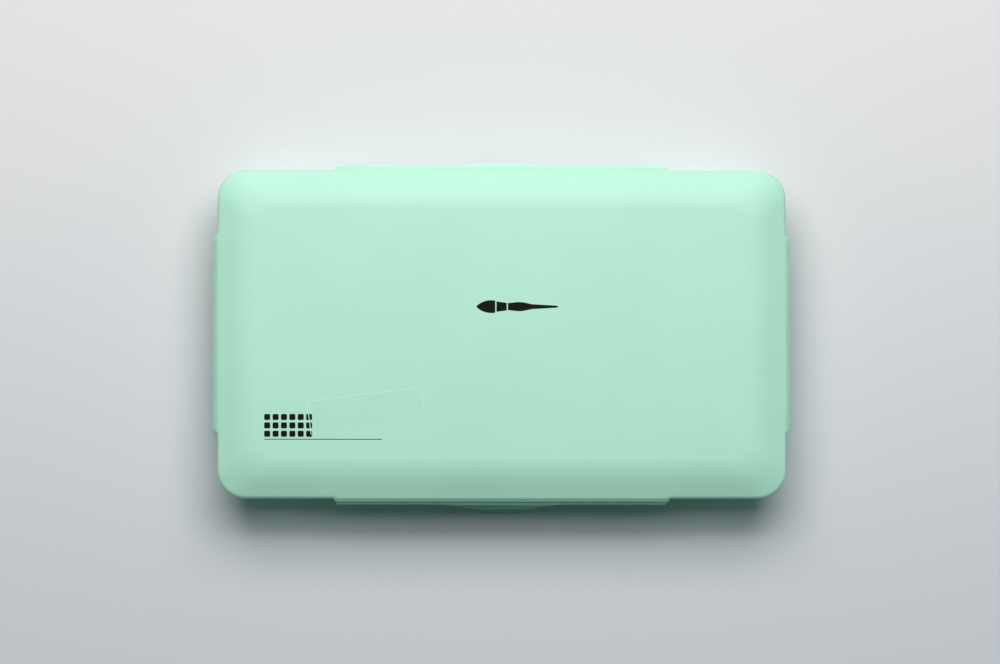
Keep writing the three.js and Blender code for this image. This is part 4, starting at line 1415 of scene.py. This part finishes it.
class PAINTBOX_OT_palette(bpy.types.Operator):
    """Build the mixing palette that lies over the cups"""
    bl_idname = "paint_box.palette"
    bl_label = "Palette"

    def execute(self, context):
        box = context.scene.paint_box
        plastic = finished(white_tray_plastic, box)
        add_piece("palette_tray", palette_patches(box), plastic, "white_plastic", "palette", "palette")
        return {"FINISHED"}


class PAINTBOX_OT_marks(bpy.types.Operator):
    """Print the plain marks on the lid and lay the clear label over them"""
    bl_idname = "paint_box.marks"
    bl_label = "Marks and Label"

    def execute(self, context):
        box = context.scene.paint_box
        ink = finished(black_screen_ink, box)
        add_piece("printed_brush", brush_patches(box), ink, "black_print", "lid")
        add_piece("printed_grid", grid_patches(box), ink, "black_print", "lid")
        film = finished(clear_label_film_painted_edge_highlight, box)
        add_piece("clear_label", [Patch(label_points(box))], film, "clear_film", "lid")
        return {"FINISHED"}


class PAINTBOX_OT_stage(bpy.types.Operator):
    """Lay the floor, hang the lamps and set the camera"""
    bl_idname = "paint_box.stage"
    bl_label = "Stage"

    def execute(self, context):
        box = context.scene.paint_box
        lay_floor(box)
        hang_lamps(box.stage)
        light_world(box.stage)
        set_camera(box.stage)
        context.scene.view_settings.view_transform = "Standard"
        return {"FINISHED"}


def lay_floor(box):
    """A level sheet just under the box's foot ring."""
    half = box.stage.floor_size / 2
    mesh = bpy.data.meshes.new("floor")
    corners = [(-half, -half, 0), (half, -half, 0), (half, half, 0), (-half, half, 0)]
    mesh.from_pydata(corners, [], [(0, 1, 2, 3)])
    mesh.materials.append(finished(studio_floor, box))
    floor = bpy.data.objects.new("floor", mesh)
    bpy.context.scene.collection.objects.link(floor)


def aimed(name, data, place, target):
    """A lamp or camera at a place, looking at a target, with the box's back at the picture's top."""
    thing = bpy.data.objects.new(name, data)
    bpy.context.scene.collection.objects.link(thing)
    back = (Vector(place) - Vector(target)).normalized()
    right = Vector((0.0, 1.0, 0.0)).cross(back).normalized()
    thing.matrix_world = Matrix((right, back.cross(right), back)).transposed().to_4x4()
    thing.location = place
    return thing


def hang_lamps(stage):
    """A big soft lamp behind the box and a weaker one over it."""
    for name, power, depth, height, distance in (
            ("key_lamp", stage.key_power, stage.key_depth, stage.key_height, stage.key_distance),
            ("top_lamp", stage.top_power, stage.top_depth, stage.top_height, stage.top_distance)):
        lamp = bpy.data.lights.new(name, "AREA")
        lamp.shape = "RECTANGLE"
        lamp.size = stage.lamp_width
        lamp.size_y = depth
        lamp.energy = power
        lamp.color = stage.lamp_tint
        aimed(name, lamp, (0.0, distance, height), (0.0, 0.0, 0.0))


def light_world(stage):
    """Pale light from all round, which grows from the horizon up as low + 1.5(1 - low)z and from the
    front to the back; the camera sees the floor's pale back colour, which is painted light."""
    world = bpy.data.worlds.new("studio")
    bpy.context.scene.world = world
    nodes = Nodes(world)
    direction = nodes.add("ShaderNodeTexCoord", {}, {}, "Generated")
    upward = direction.part(2).step(0.0, 1.0, stage.fill * stage.fill_low,
                                    stage.fill * (1.5 - 0.5 * stage.fill_low), "LINEAR")
    backward = direction.part(1).step(-1.0, 1.0, stage.fill_front, 2.0 - stage.fill_front, "LINEAR")
    light = {"Color": opaque(stage.fill_tint), "Strength": upward * backward}
    ambient = nodes.add("ShaderNodeBackground", {}, light)
    seen = nodes.add("ShaderNodeBackground", {}, {"Color": opaque(stage.floor_back), "Strength": 1.0})
    camera_ray = nodes.add("ShaderNodeLightPath", {}, {}, "Is Camera Ray")
    either = nodes.add("ShaderNodeMixShader", {}, {0: camera_ray, 1: ambient, 2: seen})
    nodes.add("ShaderNodeOutputWorld", {}, {"Surface": either})


def set_camera(stage):
    """A long lens almost straight over the box, leaning a little to its front."""
    data = bpy.data.cameras.new("camera")
    data.lens = data.sensor_width * stage.camera_distance / stage.frame_width
    target = Vector((stage.target_x, stage.target_y, lid_high.z - stage.target_drop))
    lean = Vector((-math.tan(stage.camera_lean), -math.tan(stage.camera_tilt), 1.0)).normalized()
    bpy.context.scene.camera = aimed("camera", data, target + lean * stage.camera_distance, target)


class PAINTBOX_PT_sidebar(bpy.types.Panel):
    """Lists the steps that build the paint box"""
    bl_idname = "PAINTBOX_PT_sidebar"
    bl_label = "Paint Box"
    bl_space_type = "VIEW_3D"
    bl_region_type = "UI"
    bl_category = "Paint Box"

    def draw(self, context):
        for operator in STEPS:
            self.layout.operator(operator.bl_idname)
        for name, group in GROUPS.items():
            panel = self.layout.box()
            panel.label(text=name.title())
            for field in group.__annotations__:
                panel.prop(getattr(context.scene.paint_box, name), field)


STEPS = (PAINTBOX_OT_lid, PAINTBOX_OT_flaps, PAINTBOX_OT_tub, PAINTBOX_OT_rack, PAINTBOX_OT_cups,
         PAINTBOX_OT_palette, PAINTBOX_OT_marks, PAINTBOX_OT_stage)
CLASSES = (*GROUPS.values(), PaintBoxSettings, *STEPS, PAINTBOX_PT_sidebar)


def register():
    for each in CLASSES:
        bpy.utils.register_class(each)
    bpy.types.Scene.paint_box = PointerProperty(type=PaintBoxSettings, name="Paint box",
                                                description="Sizes and colours of the paint box")


def unregister():
    del bpy.types.Scene.paint_box
    for each in reversed(CLASSES):
        bpy.utils.unregister_class(each)


def main():
    register()
    for step in STEPS:
        getattr(bpy.ops.paint_box, step.bl_idname.split(".")[1])()


if __name__ == "__main__":
    main()
